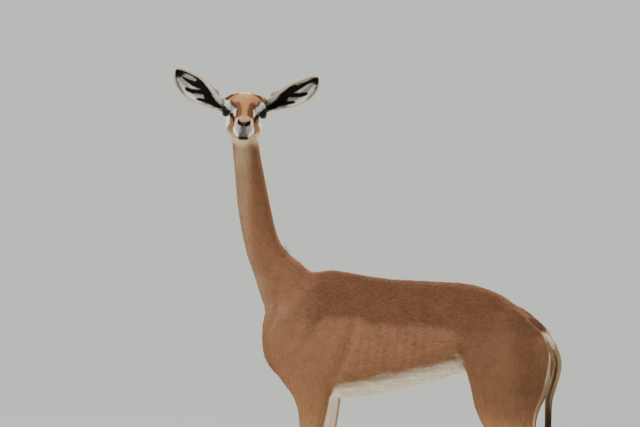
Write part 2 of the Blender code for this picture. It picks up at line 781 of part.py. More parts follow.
def make_head(axes):
    pieces = [make_skull_form(axes), make_neck("neck top", SKIN_SIDES, 3)]
    cut(pieces[1], (0, 0, NECK_IN_HEAD), (0, 0, 1))
    for side, forward, up, *radii in HEAD_FORMS:
        for sign in (1, -1) if side else (1,):
            place = Matrix.Translation((side * sign, forward, up))
            pieces.append(ball("form", axes @ place, radii))
    for sign in (1, -1):
        lid = EYE_RADIUS + LID_THICKNESS
        pieces.append(ball("lids", eye_axes(axes, sign), (lid, lid, lid)))
    head = fused("head", pieces, HEAD_VOXEL)
    relax(head, HEAD_SMOOTHING, lambda points: np.ones(len(points)))
    thin_out(head, HEAD_TRIANGLES)
    top, way = neck_plane(NECK_TOP)
    cut(head, top + way * GAP / 2, way)
    skin = grown(head, GAP)

    cutters = [make_mouth_groove(axes)]
    for sign in (1, -1):
        look = eye_axes(axes, sign)
        room = EYE_RADIUS + GAP
        cutters.append(ball("socket", look, (room, room, room), EYE_SEGMENTS))
        cutters.append(make_lid_opening(look))
        nostril = Matrix.Translation(mirrored(NOSTRIL_AT, sign))
        tilt = Matrix.Rotation(-NOSTRIL_TILT * sign, 4, "Y")
        cutters.append(ball("nostril", axes @ nostril @ tilt, NOSTRIL_RADII, NOSTRIL_SEGMENTS))
    for cutter in cutters:
        boolean(head, cutter, "DIFFERENCE")
    remove(*cutters)
    return head, skin


def make_lid_opening(look):
    """An almond-shaped prism that opens the lids."""
    half_length, half_height = LID_OPENING
    rings = []
    for depth, size in ((0.004, 0.92), (EYE_RADIUS * 1.6, 1.12)):
        points = []
        for k in range(LID_POINTS):
            angle = 2 * math.pi * k / LID_POINTS
            c, s = math.cos(angle), math.sin(angle)
            points.append(
                look @ Vector((
                    half_length * size * c,
                    half_height * size * math.copysign(abs(s) ** 1.25, s),
                    depth,
                ))
            )
        rings.append(points)
    return tube("lid opening", rings)


def make_eye(axes, name, sign):
    look = eye_axes(axes, sign)
    eye = ball(name, look, (EYE_RADIUS,) * 3, EYE_SEGMENTS)
    finish(eye, material("eye", EYE, EYE_ROUGHNESS), 80)


def make_ear(axes, head_skin, name, sign):
    """A leaf-shaped cup: each section is an arc with the ear's own thickness."""
    turn = axes.to_3x3()
    along = turn @ Vector(mirrored(EAR_TOWARDS[name], sign)).normalized()
    opens = turn @ Vector(mirrored(EAR_OPENS[name], sign)).normalized()
    opens = (opens - along * opens.dot(along)).normalized()
    across = opens.cross(along) * sign
    root = axes @ Vector(mirrored(EAR_ROOT, sign))
    rings = []
    for share, half_width, depth, half_angle, hang in denser(EAR, 2):
        bend = math.radians(half_angle)
        thick = EAR_THICKNESS * (1 - 0.55 * share)
        wide = half_width / math.sin(min(bend, math.pi / 2))
        deep = depth / (1 - math.cos(bend))
        centre = root + along * (EAR_LENGTH * share) - across * hang
        outer, inner = [], []
        for k in range(EAR_POINTS):
            t = (k / (EAR_POINTS - 1) * 2 - 1) * bend
            place = Vector((wide * math.sin(t), deep * (math.cos(t) - math.cos(bend))))
            inward = Vector((math.sin(t) / wide, math.cos(t) / deep)).normalized()
            rim = 1 - abs(t / bend) ** 6 * 0.5
            for points, spot in ((outer, place), (inner, place - inward * thick * rim)):
                points.append(centre + across * spot.x - opens * spot.y)
        rings.append(outer + inner[::-1])
    ear = tube(f"ear_{name}", rings)
    boolean(ear, head_skin, "DIFFERENCE")
    finish(ear, material("coat", COAT, COAT_ROUGHNESS))


def make_tail(rump):
    rows = denser(TAIL, 3)
    ways = tangents([(x, 0, z) for x, z, _ in rows])
    side = Vector((0, 1, 0))
    rings = []
    for (x, z, half), way in zip(rows, ways):
        front = side.cross(way)
        half_sizes = (half, half * TAIL_FLATNESS)
        rings.append(ring(Vector((x, 0, z)), side, front, *half_sizes, 0, 2.0, TAIL_SIDES))
    tail = tube("tail", rings)
    skin = grown(rump, GAP)
    boolean(tail, skin, "DIFFERENCE")
    remove(skin)
    finish(tail, material("coat", COAT, COAT_ROUGHNESS))
    tip = Vector((rows[-1][0], 0, rows[-1][1]))
    make_tuft(tip, ways[-1], rows[-1][2])


def bend_towards(start, way, aim, length, steps):
    """Points of a strand that leaves along one direction and turns to another."""
    points = [start]
    for k in range(steps):
        share = (k + 1) / steps
        heading = way.lerp(aim, share**0.8).normalized()
        points.append(points[-1] + heading * (length / steps))
    return points


def make_lock(start, way, aim, length, half_width, flat_side):
    """A flat tapered strand of hair, four-sided and widest a third of the way down."""
    path = bend_towards(start, way, aim, length, LOCK_STEPS)
    rings = []
    for k, (point, heading) in enumerate(zip(path, tangents(path))):
        share = k / LOCK_STEPS
        size = math.sin(math.pi * (0.16 + 0.80 * share**0.8)) ** 0.7
        across = flat_side.cross(heading).normalized()
        out = heading.cross(across)
        half = max(half_width * size, LOCK_TIP)
        thick = max(half * LOCK_FLATNESS, LOCK_TIP)
        rings.append([point + across * half, point + out * thick,
                      point - across * half, point - out * thick])
    return tube("lock", rings)


def make_tuft(tip, way, half):
    """The dark end of the tail: a short core under three tiers of locks."""
    side = Vector((0, 1, 0))
    front = side.cross(way)
    rings = []
    for share, size in TUFT_CORE:
        centre = tip + way * (GAP + TUFT_LENGTH * share)
        half_sizes = (half * size, half * size * TAIL_FLATNESS)
        rings.append(ring(centre, side, front, *half_sizes, 0, 2.0, TAIL_SIDES))
    tuft = tube("tail_tuft", rings)
    draw = random.Random(TUFT_SEED)
    locks = bpy.data.collections.new("tuft locks")
    for share, count, turn, length in TUFT_TIERS:
        for k in range(count):
            angle = 2 * math.pi * (k + turn) / count + draw.uniform(-LOCK_TURN, LOCK_TURN)
            out = side * math.cos(angle) + front * math.sin(angle)
            depth = GAP + TUFT_LENGTH * share + ROOT_IN
            root = tip + way * depth + out * half * ROOT_OUT
            leave = (way + out * draw.uniform(*LOCK_LEAVE)).normalized()
            aim = (way - out * draw.uniform(*LOCK_AIM)).normalized()
            reach = TUFT_LENGTH * length * draw.uniform(*LOCK_REACH)
            lock = make_lock(root, leave, aim, reach, LOCK_HALF_WIDTH, out)
            bpy.context.scene.collection.objects.unlink(lock)
            locks.objects.link(lock)
    union = tuft.modifiers.new("locks", "BOOLEAN")
    union.operation = "UNION"
    union.solver = "EXACT"
    union.operand_type = "COLLECTION"
    union.collection = locks
    bake(tuft)
    remove(*locks.objects)
    bpy.data.collections.remove(locks)
    finish(tuft, material("tuft", DARK, COAT_ROUGHNESS), 60)


def set_origins():
    """Puts the world's origin on the floor under the animal, each object's in its middle."""
    objects = list(bpy.context.scene.objects)
    boxes = []
    for obj in objects:
        points = np.empty(len(obj.data.vertices) * 3)
        obj.data.vertices.foreach_get("co", points)
        points = points.reshape(-1, 3)
        boxes.append((points.min(axis=0), points.max(axis=0)))
    low = np.min([box[0] for box in boxes], axis=0)
    high = np.max([box[1] for box in boxes], axis=0)
    shift = Vector((-(low[0] + high[0]) / 2, -(low[1] + high[1]) / 2, -low[2]))
    for obj, (least, most) in zip(objects, boxes):
        middle = Vector((least + most) / 2)
        obj.data.transform(Matrix.Translation(-middle))
        obj.location = middle + shift


def main():
    clear_scene()
    rump = part_body(make_body())
    neck = make_neck("neck_upper", NECK_SIDES, 2)
    between(neck, neck_plane(NECK_TOP), neck_plane(NECK_MIDDLE))
    finish(neck, material("coat", COAT, COAT_ROUGHNESS))
    make_lower_legs()
    axes = head_matrix()
    head, skin = make_head(axes)
    for name, sign in (("left", 1), ("right", -1)):
        make_eye(axes, f"eye_{name}", sign)
        make_ear(axes, skin, name, sign)
    remove(skin)
    finish(head, material("coat", COAT, COAT_ROUGHNESS))
    make_tail(rump)
    set_origins()


main()
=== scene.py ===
import math
import bmesh
import bpy
import numpy as np
from mathutils import Matrix, Vector


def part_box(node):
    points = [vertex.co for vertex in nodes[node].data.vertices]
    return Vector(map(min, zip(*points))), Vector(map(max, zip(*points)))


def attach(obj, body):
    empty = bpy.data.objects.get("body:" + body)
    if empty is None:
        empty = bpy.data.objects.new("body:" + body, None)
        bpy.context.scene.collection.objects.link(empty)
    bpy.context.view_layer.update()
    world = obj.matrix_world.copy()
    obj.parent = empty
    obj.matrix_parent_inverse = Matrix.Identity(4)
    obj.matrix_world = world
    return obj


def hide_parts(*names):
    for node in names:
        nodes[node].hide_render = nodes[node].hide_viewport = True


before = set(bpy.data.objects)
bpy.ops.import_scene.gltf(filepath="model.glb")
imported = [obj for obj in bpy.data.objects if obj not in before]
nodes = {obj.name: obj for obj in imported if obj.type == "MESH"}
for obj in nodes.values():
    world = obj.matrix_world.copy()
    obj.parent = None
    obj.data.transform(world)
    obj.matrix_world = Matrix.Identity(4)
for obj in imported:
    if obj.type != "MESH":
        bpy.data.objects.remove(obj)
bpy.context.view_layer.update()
print("frame loaded,", len(nodes), "nodes")

# camera at the photo's angle, far off with a long lens
shot = {"azimuth": 11.0, "elevation": 2.5, "distance": 15.0, "lens": 337.5, "aim": (-0.118, 0.0331, 1.06),
        "farthest": 900}


def aimAt(obj, aim, azimuth, elevation, distance):
    # puts a camera or lamp round what it looks at; azimuth 0 stands on the side of -Y
    a, e = math.radians(azimuth), math.radians(elevation)
    out = Vector((math.sin(a) * math.cos(e), -math.cos(a) * math.cos(e), math.sin(e)))
    obj.location = Vector(aim) + out * distance
    obj.rotation_mode = "QUATERNION"
    obj.rotation_quaternion = (-out).to_track_quat("-Z", "Y")


def newMaterial(name):
    material = bpy.data.materials.new(name)
    material.use_nodes = True
    tree = material.node_tree
    return material, tree.nodes["Principled BSDF"], tree.nodes.new, tree.links.new


camera = bpy.data.objects.new("camera", bpy.data.cameras.new("camera"))
bpy.context.scene.collection.objects.link(camera)
bpy.context.scene.camera = camera
camera.data.lens = shot["lens"]
camera.data.clip_end = shot["farthest"]
aimAt(camera, shot["aim"], shot["azimuth"], shot["elevation"], shot["distance"])

# soft studio light: kind, azimuth, elevation, distance, size, power, colour
lights = {
    "key": ("SUN", -32, 40, 6.0, math.radians(28), 2.7, (1.0, 0.97, 0.92)),
    "rimLeft": ("AREA", -146, 30, 4.5, 1.6, 300, (1.0, 0.84, 0.6)),
    "rimRight": ("AREA", 150, 30, 4.5, 1.6, 360, (1.0, 0.84, 0.6)),
}
lightsAim = (0, 0, 0.9)
for lightName, (kind, azimuth, elevation, distance, size, power, colour) in lights.items():
    lamp = bpy.data.lights.new(lightName, kind)
    lamp.energy, lamp.color = power, colour
    if kind == "SUN":
        lamp.angle = size
    else:
        lamp.size = size
    holder = bpy.data.objects.new(lightName, lamp)
    bpy.context.scene.collection.objects.link(holder)
    aimAt(holder, lightsAim, azimuth, elevation, distance)

studio = {"sky": (0.8, 0.84, 0.86, 1), "skyPower": 0.75, "floor": (0.62, 0.64, 0.6, 1),
          "floorRoughness": 0.8, "floorHalf": 300}
world = bpy.data.worlds.new("studio")
world.use_nodes = True
world.node_tree.nodes["Background"].inputs["Color"].default_value = studio["sky"]
world.node_tree.nodes["Background"].inputs["Strength"].default_value = studio["skyPower"]
bpy.context.scene.world = world

half = studio["floorHalf"]
floorMesh = bpy.data.meshes.new("floor")
square = [(-half, -half, 0), (half, -half, 0), (half, half, 0), (-half, half, 0)]
floorMesh.from_pydata(square, [], [(0, 1, 2, 3)])
floor = bpy.data.objects.new("floor", floorMesh)
bpy.context.scene.collection.objects.link(floor)
floorLook, shader, _, _ = newMaterial("pale floor")
shader.inputs["Base Color"].default_value = studio["floor"]
shader.inputs["Roughness"].default_value = studio["floorRoughness"]
floorMesh.materials.append(floorLook)
print("camera, light and floor ready")


# small tools for tables, numbers and meshes

def smooth(values, low, high):
    t = np.clip((np.asarray(values, float) - low) / (high - low), 0, 1)
    return t * t * (3 - 2 * t)


def denser(rows, steps):
    table = np.array(rows, float)
    padded = np.vstack([2 * table[0] - table[1], table, 2 * table[-1] - table[-2]])
    out = []
    for i in range(1, len(padded) - 2):
        a, b, c, d = padded[i - 1:i + 3]
        for k in range(steps):
            t = k / steps
            out.append(0.5 * (2 * b + (c - a) * t + (2 * a - 5 * b + 4 * c - d) * t**2
                              + (3 * b - a - 3 * c + d) * t**3))
    out.append(table[-1])
    return np.array(out)


def unit(vectors):
    return vectors / np.maximum(np.linalg.norm(vectors, axis=-1, keepdims=True), 1e-9)


def linked(name, mesh):
    obj = bpy.data.objects.new(name, mesh)
    bpy.context.scene.collection.objects.link(obj)
    return obj


def fromBmesh(name, bm):
    bmesh.ops.recalc_face_normals(bm, faces=bm.faces[:])
    mesh = bpy.data.meshes.new(name)
    bm.to_mesh(mesh)
    bm.free()
    return linked(name, mesh)


def tube(name, rings):
    bm = bmesh.new()
    loops = [[bm.verts.new(p) for p in points] for points in rings]
    count = len(loops[0])
    for low, high in zip(loops, loops[1:]):
        for k in range(count):
            after = (k + 1) % count
            bm.faces.new((low[k], low[after], high[after], high[k]))
    bm.faces.new(loops[0])
    bm.faces.new(loops[-1])
    return fromBmesh(name, bm)


def ring(centre, side, front, halfSide, halfFront, taper, power, count):
    points = []
    for k in range(count):
        angle = 2 * math.pi * k / count
        c, s = math.cos(angle), math.sin(angle)
        across = math.copysign(abs(c) ** (2 / power), c)
        along = math.copysign(abs(s) ** (2 / power), s)
        wide = halfSide * (1 - taper * along)
        points.append(centre + side * (wide * across) + front * (halfFront * along))
    return points


def ball(name, matrix, radii, segments=32):
    bm = bmesh.new()
    bmesh.ops.create_uvsphere(bm, u_segments=segments, v_segments=segments // 2, radius=1.0,
                              matrix=matrix @ Matrix.Diagonal((*radii, 1.0)))
    return fromBmesh(name, bm)


def pointsOf(mesh):
    points = np.empty(len(mesh.vertices) * 3)
    mesh.vertices.foreach_get("co", points)
    return points.reshape(-1, 3)


def setPoints(mesh, points):
    mesh.vertices.foreach_set("co", np.ascontiguousarray(points, np.float32).ravel())
    mesh.update()


def normalsOf(mesh):
    mesh.update()
    normals = np.empty(len(mesh.vertices) * 3, np.float32)
    mesh.vertex_normals.foreach_get("vector", normals)
    return normals.reshape(-1, 3).astype(float)


def evenOut(mesh, rounds, weight=None, keepSize=True):
    # smooths in pairs of steps, in and out again, so that the form keeps its size
    points = pointsOf(mesh)
    ends = np.empty(len(mesh.edges) * 2, np.int64)
    mesh.edges.foreach_get("vertices", ends)
    first, second = ends.reshape(-1, 2).T
    near = np.maximum(np.bincount(ends, minlength=len(points)), 1)[:, None]
    share = 1.0 if weight is None else weight[:, None]
    for _ in range(rounds):
        for step in ((0.62, -0.64) if keepSize else (0.6,)):
            total = np.empty_like(points)
            for axis in range(3):
                total[:, axis] = (np.bincount(first, points[second, axis], len(points))
                                  + np.bincount(second, points[first, axis], len(points)))
            points = points + step * share * (total / near - points)
    setPoints(mesh, points)


def voxelSkin(name, objects, voxel):
    # one closed skin round closed shapes that overlap
    bm = bmesh.new()
    for obj in objects:
        bm.from_mesh(obj.data)
        bpy.data.objects.remove(obj)
    whole = fromBmesh(name, bm)
    remesh = whole.modifiers.new("skin", "REMESH")
    remesh.mode = "VOXEL"
    remesh.voxel_size = voxel
    bpy.context.view_layer.update()
    mesh = bpy.data.meshes.new_from_object(whole.evaluated_get(bpy.context.evaluated_depsgraph_get()))
    whole.modifiers.clear()
    whole.data = mesh
    return whole


def strokeDistance(points, path):
    # distance to a line of points, and how far along it the nearest place is, 0 to 1
    path = np.array(path, float)
    best = np.full(len(points), 1e9)
    along = np.zeros(len(points))
    lengths = np.linalg.norm(np.diff(path, axis=0), axis=1)
    starts = np.concatenate([[0], np.cumsum(lengths)])
    for k, length in enumerate(lengths):
        way = (path[k + 1] - path[k]) / max(length, 1e-9)
        t = np.clip((points - path[k]) @ way, 0, length)
        far = np.linalg.norm(points - path[k] - t[:, None] * way, axis=1)
        closer = far < best
        best[closer] = far[closer]
        along[closer] = (starts[k] + t[closer]) / starts[-1]
    return best, along


def oneSide(points, axis):
    # both sides laid on one
    folded = points.copy()
    folded[:, axis] = np.abs(folded[:, axis])
    return folded


def sculpt(points, normals, strokes):
    # each stroke: a path, its radius and how far it raises the skin
    lift = np.zeros(len(points))
    for path, radius, height in strokes:
        far, _ = strokeDistance(points, path)
        lift += height * np.exp(-(far / radius) ** 2)
    return points + normals * lift[:, None]


# the head's own axes: side to the animal's left, forward to the nose, up
headPose = {"at": (-0.221, 0.004, 1.36), "yaw": 11.0, "pitch": 11.2, "roll": 3.5}
eyeForm = {"at": (0.0385, 0.066, -0.0345), "radius": 0.0168, "outward": (0.86, 0.48, 0.16),
           "lid": 0.0017, "halfLength": 0.0146, "halfHeight": 0.0096,
           "corner": ((0.0415, 0.084, -0.0335), (0.037, 0.096, -0.034), (0.0325, 0.1045, -0.0343))}
yaw, pitch = math.radians(headPose["yaw"]), math.radians(headPose["pitch"])
headForward = Vector((math.sin(yaw) * math.cos(pitch), -math.cos(yaw) * math.cos(pitch), -math.sin(pitch)))
headSide = Vector((math.cos(yaw), math.sin(yaw), 0))
headUp = headForward.cross(headSide)
headRoll = Matrix.Rotation(-math.radians(headPose["roll"]), 3, headForward)
headTurn = Matrix((headRoll @ headSide, headForward, headRoll @ headUp)).transposed().to_4x4()
eyeOut = unit(np.array(eyeForm["outward"]))
eyeLow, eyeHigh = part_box("eye_left")
# the model stands with its box over the origin, its tables start under the withers
shift = (eyeLow + eyeHigh) / 2 - (Matrix.Translation(headPose["at"]) @ headTurn) @ Vector(eyeForm["at"])
headAxes = Matrix.Translation(Vector(headPose["at"]) + shift) @ headTurn
headTurnArray = np.array(headTurn.to_3x3())
headOrigin = np.array(headAxes.translation)


def inHead(points):
    return (points - headOrigin) @ headTurnArray


def inEye(folded):
    # offsets from the eye's middle along the lids, up and outwards, for points laid on one side
    along = unit(np.cross((0, 0, 1), eyeOut))
    away = folded - np.array(eyeForm["at"])
    return away @ along, away @ np.cross(eyeOut, along), away @ eyeOut


def mirrored(place, sign):
    return (place[0] * sign, place[1], place[2])


def eyeAxes(sign):
    # at an eye: X along the lids, Y up, Z outwards
    out = Vector(mirrored(eyeForm["outward"], sign)).normalized()
    along = Vector((0, 0, 1)).cross(out).normalized()
    turn = Matrix((along, out.cross(along), out)).transposed().to_4x4()
    return headAxes @ Matrix.Translation(mirrored(eyeForm["at"], sign)) @ turn


skull = {
    # forward, top, bottom, half width, how much narrower the top is, squareness
    "rows": (
        (-0.047, -0.036, -0.08, 0.017, 0.0, 2.0), (-0.03, -0.013, -0.096, 0.03, 0.0, 2.1),
        (0.0, 0.0, -0.105, 0.037, -0.04, 2.4), (0.034, 0.001, -0.106, 0.04, 0.04, 2.4),
        (0.066, -0.002, -0.1, 0.0405, 0.12, 2.3), (0.092, -0.007, -0.091, 0.034, 0.16, 2.2),
        (0.12, -0.013, -0.085, 0.0275, 0.1, 2.2), (0.148, -0.0175, -0.0825, 0.025, 0.04, 2.2),
        (0.172, -0.0205, -0.0845, 0.024, 0.0, 2.2), (0.189, -0.0255, -0.0835, 0.0205, 0.0, 2.1),
        (0.199, -0.036, -0.076, 0.012, 0.0, 2.0),
    ),
    # rounded forms: side, forward, up and their radii
    "forms": (
        (0.0, 0.002, -0.0145, 0.0385, 0.038, 0.016), (0.036, 0.056, -0.0225, 0.017, 0.03, 0.0135),
        (0.034, 0.028, -0.034, 0.015, 0.034, 0.022), (0.035, 0.05, -0.055, 0.0115, 0.034, 0.012),
        (0.026, 0.092, -0.046, 0.013, 0.03, 0.019),
        (0.031, 0.026, -0.07, 0.0165, 0.042, 0.033), (0.034, -0.006, -0.036, 0.016, 0.02, 0.023),
        (0.014, 0.172, -0.056, 0.013, 0.022, 0.018), (0.0, 0.19, -0.032, 0.0155, 0.0118, 0.011),
        (0.0, 0.178, -0.081, 0.014, 0.017, 0.0082), (0.042, -0.006, -0.0225, 0.015, 0.017, 0.01),
        (0.026, -0.006, -0.015, 0.019, 0.024, 0.0125),
    ),
    # the neck inside the head: x, z, half depth, half width, turn
    "neck": (
        (-0.211, 1.155, 0.0395, 0.0345, 62.0), (-0.2185, 1.21, 0.039, 0.0335, 82.0),
        (-0.223, 1.255, 0.0405, 0.034, 97.0), (-0.225, 1.3, 0.04, 0.034, 100.0),
    ),
    "voxel": 0.00105, "seam": 1.236, "earCorner": (0.038, 0.0, -0.014),
}
ear = {
    "length": 0.17, "root": (0.0355, -0.004, -0.0435), "thickness": 0.0026, "thinnest": 0.0021, "steps": 25,
    # share of the length, half width, depth of the cup, half angle of the arc, hang of the middle
    "rows": (
        (0.0, 0.0235, 0.033, 166.0, 0.0), (0.12, 0.0265, 0.032, 156.0, 0.001),
        (0.28, 0.0285, 0.027, 126.0, 0.003), (0.45, 0.0305, 0.0215, 98.0, 0.0075),
        (0.6, 0.0325, 0.0172, 80.0, 0.011), (0.75, 0.0298, 0.013, 68.0, 0.0115),
        (0.88, 0.0225, 0.007, 56.0, 0.008), (0.96, 0.0135, 0.0035, 46.0, 0.0035),
        (1.0, 0.004, 0.0012, 36.0, 0.0),
    ),
    "towards": {"left": (0.857, -0.06, 0.535), "right": (0.85, -0.25, 0.485)},
    "opens": {"left": (0.1, 0.93, -0.35), "right": (0.1, 0.98, -0.15)},
    # how narrow each ear's root is, and how far its middle hangs
    "slim": {"left": (0.82, 0.003), "right": (0.68, 0.007)},
}
sides = {"left": 1, "right": -1}


def earAxes(name):
    sign = sides[name]
    turn = headTurn.to_3x3()
    along = turn @ Vector(mirrored(ear["towards"][name], sign)).normalized()
    opens = turn @ Vector(mirrored(ear["opens"][name], sign)).normalized()
    opens = (opens - along * opens.dot(along)).normalized()
    across = opens.cross(along) * sign
    return headAxes @ Vector(mirrored(ear["root"], sign)), along, opens, across


def earRows(name):
    table = denser(ear["rows"], 5)
    factor, drop = ear["slim"][name]
    fade = 1 - smooth(table[:, 0], 0.12, 0.54)
    table[:, 1] *= 1 - (1 - factor) * fade
    table[:, 2] *= 1 - (1 - factor) * 0.5 * fade
    table[:, 4] += drop * fade
    return table


def earShell(name):
    root, along, opens, across = earAxes(name)
    rings = []
    for share, halfWidth, depth, halfAngle, hang in earRows(name):
        bend = math.radians(halfAngle)
        thick = max(ear["thickness"] * (1 - 0.55 * share), ear["thinnest"])
        wide = halfWidth / math.sin(min(bend, math.pi / 2))
        deep = depth / (1 - math.cos(bend))
        centre = root + along * (ear["length"] * share) - across * hang
        outer, inner = [], []
        for k in range(ear["steps"]):
            t = (k / (ear["steps"] - 1) * 2 - 1) * bend
            place = Vector((wide * math.sin(t), deep * (math.cos(t) - math.cos(bend))))
            inward = Vector((math.sin(t) / wide, math.cos(t) / deep)).normalized()
            for points, spot in ((outer, place), (inner, place - inward * thick)):
                points.append(centre + across * spot.x - opens * spot.y)
        rings.append(outer + inner[::-1])
    return tube("ear_" + name, rings)


def earPlace(points, name):
    # share of the length, place across from -1 to 1, reach in the cup's ellipse, distance from the shell
    root, along, opens, across = (np.array(v) for v in earAxes(name))
    table = earRows(name)
    away = points - root
    share = away @ along / ear["length"]
    held = np.clip(share, 0, 1)
    halfWidth, depth, halfAngle, hang = (np.interp(held, table[:, 0], table[:, k]) for k in (1, 2, 3, 4))
    bend = np.radians(halfAngle)
    wide = halfWidth / np.sin(np.minimum(bend, math.pi / 2))
    deep = depth / (1 - np.cos(bend))
    x = away @ across + hang
    y = -(away @ opens) + deep * np.cos(bend)
    reach = np.hypot(x / wide, y / deep)
    turn = np.arctan2(x / wide, y / deep)
    outside = np.maximum(np.abs(turn) - bend, 0) * wide
    far = np.hypot((reach - 1) * np.minimum(wide, deep), outside) + ear["length"] * np.abs(share - held)
    return share, turn / bend, reach, far


# the body's skin from the frame's flesh, fine enough for its muscles and joints
flesh = [n for n in nodes if not any(word in n for word in ("claw", "eye", "tuft"))]
bodyForm = {"voxel": 0.0033, "grow": 0.0006}
foreRear = 0.16  # all of the forelegs lies before this x of the tables


def fleshCopy(name, grow):
    bm = bmesh.new()
    bm.from_mesh(nodes[name].data)
    bmesh.ops.remove_doubles(bm, verts=bm.verts[:], dist=1e-5)
    bmesh.ops.recalc_face_normals(bm, faces=bm.faces[:])
    bm.normal_update()
    for v, n in [(v, v.normal.copy()) for v in bm.verts]:
        v.co += n * grow
    return fromBmesh(name + "_copy", bm)


def cutAt(mesh, height, keepUpper):
    bm = bmesh.new()
    bm.from_mesh(mesh)
    bmesh.ops.bisect_plane(bm, geom=bm.verts[:] + bm.edges[:] + bm.faces[:], dist=1e-6,
                           plane_co=(0, 0, height), plane_no=(0, 0, 1),
                           clear_inner=keepUpper, clear_outer=not keepUpper)
    bm.to_mesh(mesh)
    bm.free()


# the lie of the coat: lines through the body that the hair follows, each with its reach
# and its place in the unwrap (left, low, width, height)
def nodeLine(*names):
    line = []
    for name in names:
        points = pointsOf(nodes[name].data)
        low, high = points[:, 2].min(), points[:, 2].max()
        for share in (0.92, 0.5, 0.08):
            near = np.abs(points[:, 2] - low - (high - low) * share) < 0.09 * (high - low) + 0.002
            line.append(points[near].mean(axis=0))
    return np.array(line)


def designLine(rows):
    return np.array(rows, float) + np.array(shift)


def headLine(rows):
    return np.array(rows, float) @ headTurnArray.T + headOrigin


def legLine(leg, upper, middle):
    line = nodeLine(*(leg + part for part in (upper, middle, "_cannon", "_pastern")))
    foot = nodeLine(leg + "_claw_inner")[1] / 2 + nodeLine(leg + "_claw_outer")[1] / 2
    return np.vstack([line, foot])


neckRows = ((-0.222, 0, 1.3), (-0.219, 0, 1.21), (-0.211, 0, 1.155), (-0.202, 0, 1.092), (-0.19, 0, 1.027),
            (-0.1755, 0, 0.972), (-0.15, 0, 0.925), (-0.11, 0, 0.865), (-0.07, 0, 0.79))
trunkRows = ((-0.09, 0, 0.85), (0.0, 0, 0.8), (0.12, 0, 0.785), (0.26, 0, 0.785), (0.38, 0, 0.78),
             (0.46, 0, 0.75), (0.505, 0, 0.69), (0.51, 0, 0.6))
tailRows = ((0.5, 0, 0.798), (0.534, 0, 0.771), (0.553, 0, 0.746), (0.5675, 0, 0.716), (0.5725, 0, 0.69),
            (0.569, 0, 0.662), (0.56, 0, 0.632), (0.55, 0, 0.595))
guides = {
    "head": (headLine(((0, 0.205, -0.05), (0, 0.12, -0.05), (0, 0.03, -0.05), (0, -0.045, -0.06))),
             0.06, (0.0, 0.62, 0.34, 0.38)),
    "neck": (designLine(neckRows), 0.05, (0.34, 0.62, 0.24, 0.38)),
    "trunk": (designLine(trunkRows), 0.12, (0.0, 0.0, 0.5, 0.6)),
    "tail": (designLine(tailRows), 0.014, (0.92, 0.62, 0.06, 0.38)),
}
legs = ("foreleg_left", "foreleg_right", "hindleg_left", "hindleg_right")
for number, leg in enumerate(legs):
    upper, middle = ("_shoulder", "_forearm") if "fore" in leg else ("_thigh", "_gaskin")
    guides[leg] = (legLine(leg, upper, middle), 0.05, (0.51 + 0.1225 * number, 0.0, 0.115, 0.6))
earPatch = {("left", False): (0.59, 0.62, 0.07, 0.38), ("left", True): (0.67, 0.62, 0.07, 0.38),
            ("right", False): (0.75, 0.62, 0.07, 0.38), ("right", True): (0.83, 0.62, 0.07, 0.38)}


def alongGuide(points, path):
    # distance, share along, way of the line, and the offset from it
    best = np.full(len(points), 1e9)
    share, way, offset = np.zeros(len(points)), np.zeros((len(points), 3)), np.zeros((len(points), 3))
    steps = np.diff(path, axis=0)
    lengths = np.linalg.norm(steps, axis=1)
    starts = np.concatenate([[0], np.cumsum(lengths)])
    for k, length in enumerate(lengths):
        t = np.clip((points - path[k]) @ steps[k] / length**2, 0, 1)
        away = points - path[k] - t[:, None] * steps[k]
        far = np.linalg.norm(away, axis=1)
        closer = far < best
        best[closer], offset[closer] = far[closer], away[closer]
        share[closer] = ((starts[k] + t * length) / starts[-1])[closer]
        before = unit(steps[max(k - 1, 0)] + steps[k])
        after = unit(steps[k] + steps[min(k + 1, len(steps) - 1)])
        way[closer] = ((1 - t)[:, None] * before + t[:, None] * after)[closer]
    return best, share, unit(way), offset, starts[-1]


# shapes raised (+) or pressed (-) on the body, in its own tables' axes, on both sides
bodyStrokes = (
    (((0.02, 0.088, 0.872), (-0.03, 0.094, 0.8), (-0.085, 0.084, 0.715)), 0.016, 0.004),
    (((0.055, 0.098, 0.8), (0.03, 0.094, 0.72), (-0.005, 0.09, 0.66)), 0.02, 0.003),
    (((0.078, 0.1, 0.84), (0.068, 0.1, 0.74), (0.03, 0.09, 0.655)), 0.013, -0.0035),
    (((-0.12, 0.058, 0.89), (-0.14, 0.056, 0.8), (-0.12, 0.066, 0.73)), 0.014, -0.003),
    (((0.335, 0.084, 0.858),), 0.02, 0.0055),
    (((0.275, 0.088, 0.83), (0.3, 0.094, 0.79)), 0.034, -0.0055),
    (((0.33, 0.094, 0.735), (0.372, 0.098, 0.668)), 0.014, 0.004),
    (((0.395, 0.1, 0.69), (0.42, 0.1, 0.61)), 0.02, 0.003),
    (((0.45, 0.088, 0.805),), 0.02, 0.005),
    (((0.49, 0.08, 0.77), (0.478, 0.09, 0.69), (0.47, 0.086, 0.6)), 0.012, -0.0028),
    (((0.53, 0.046, 0.775), (0.536, 0.056, 0.7)), 0.018, 0.003),
    (((0.0, 0.0, 0.93), (0.2, 0.0, 0.905), (0.38, 0.0, 0.89)), 0.012, 0.0018),
)
ribs = {"count": 9, "from": 0.075, "step": 0.0235, "radius": 0.0075, "height": 0.0006}


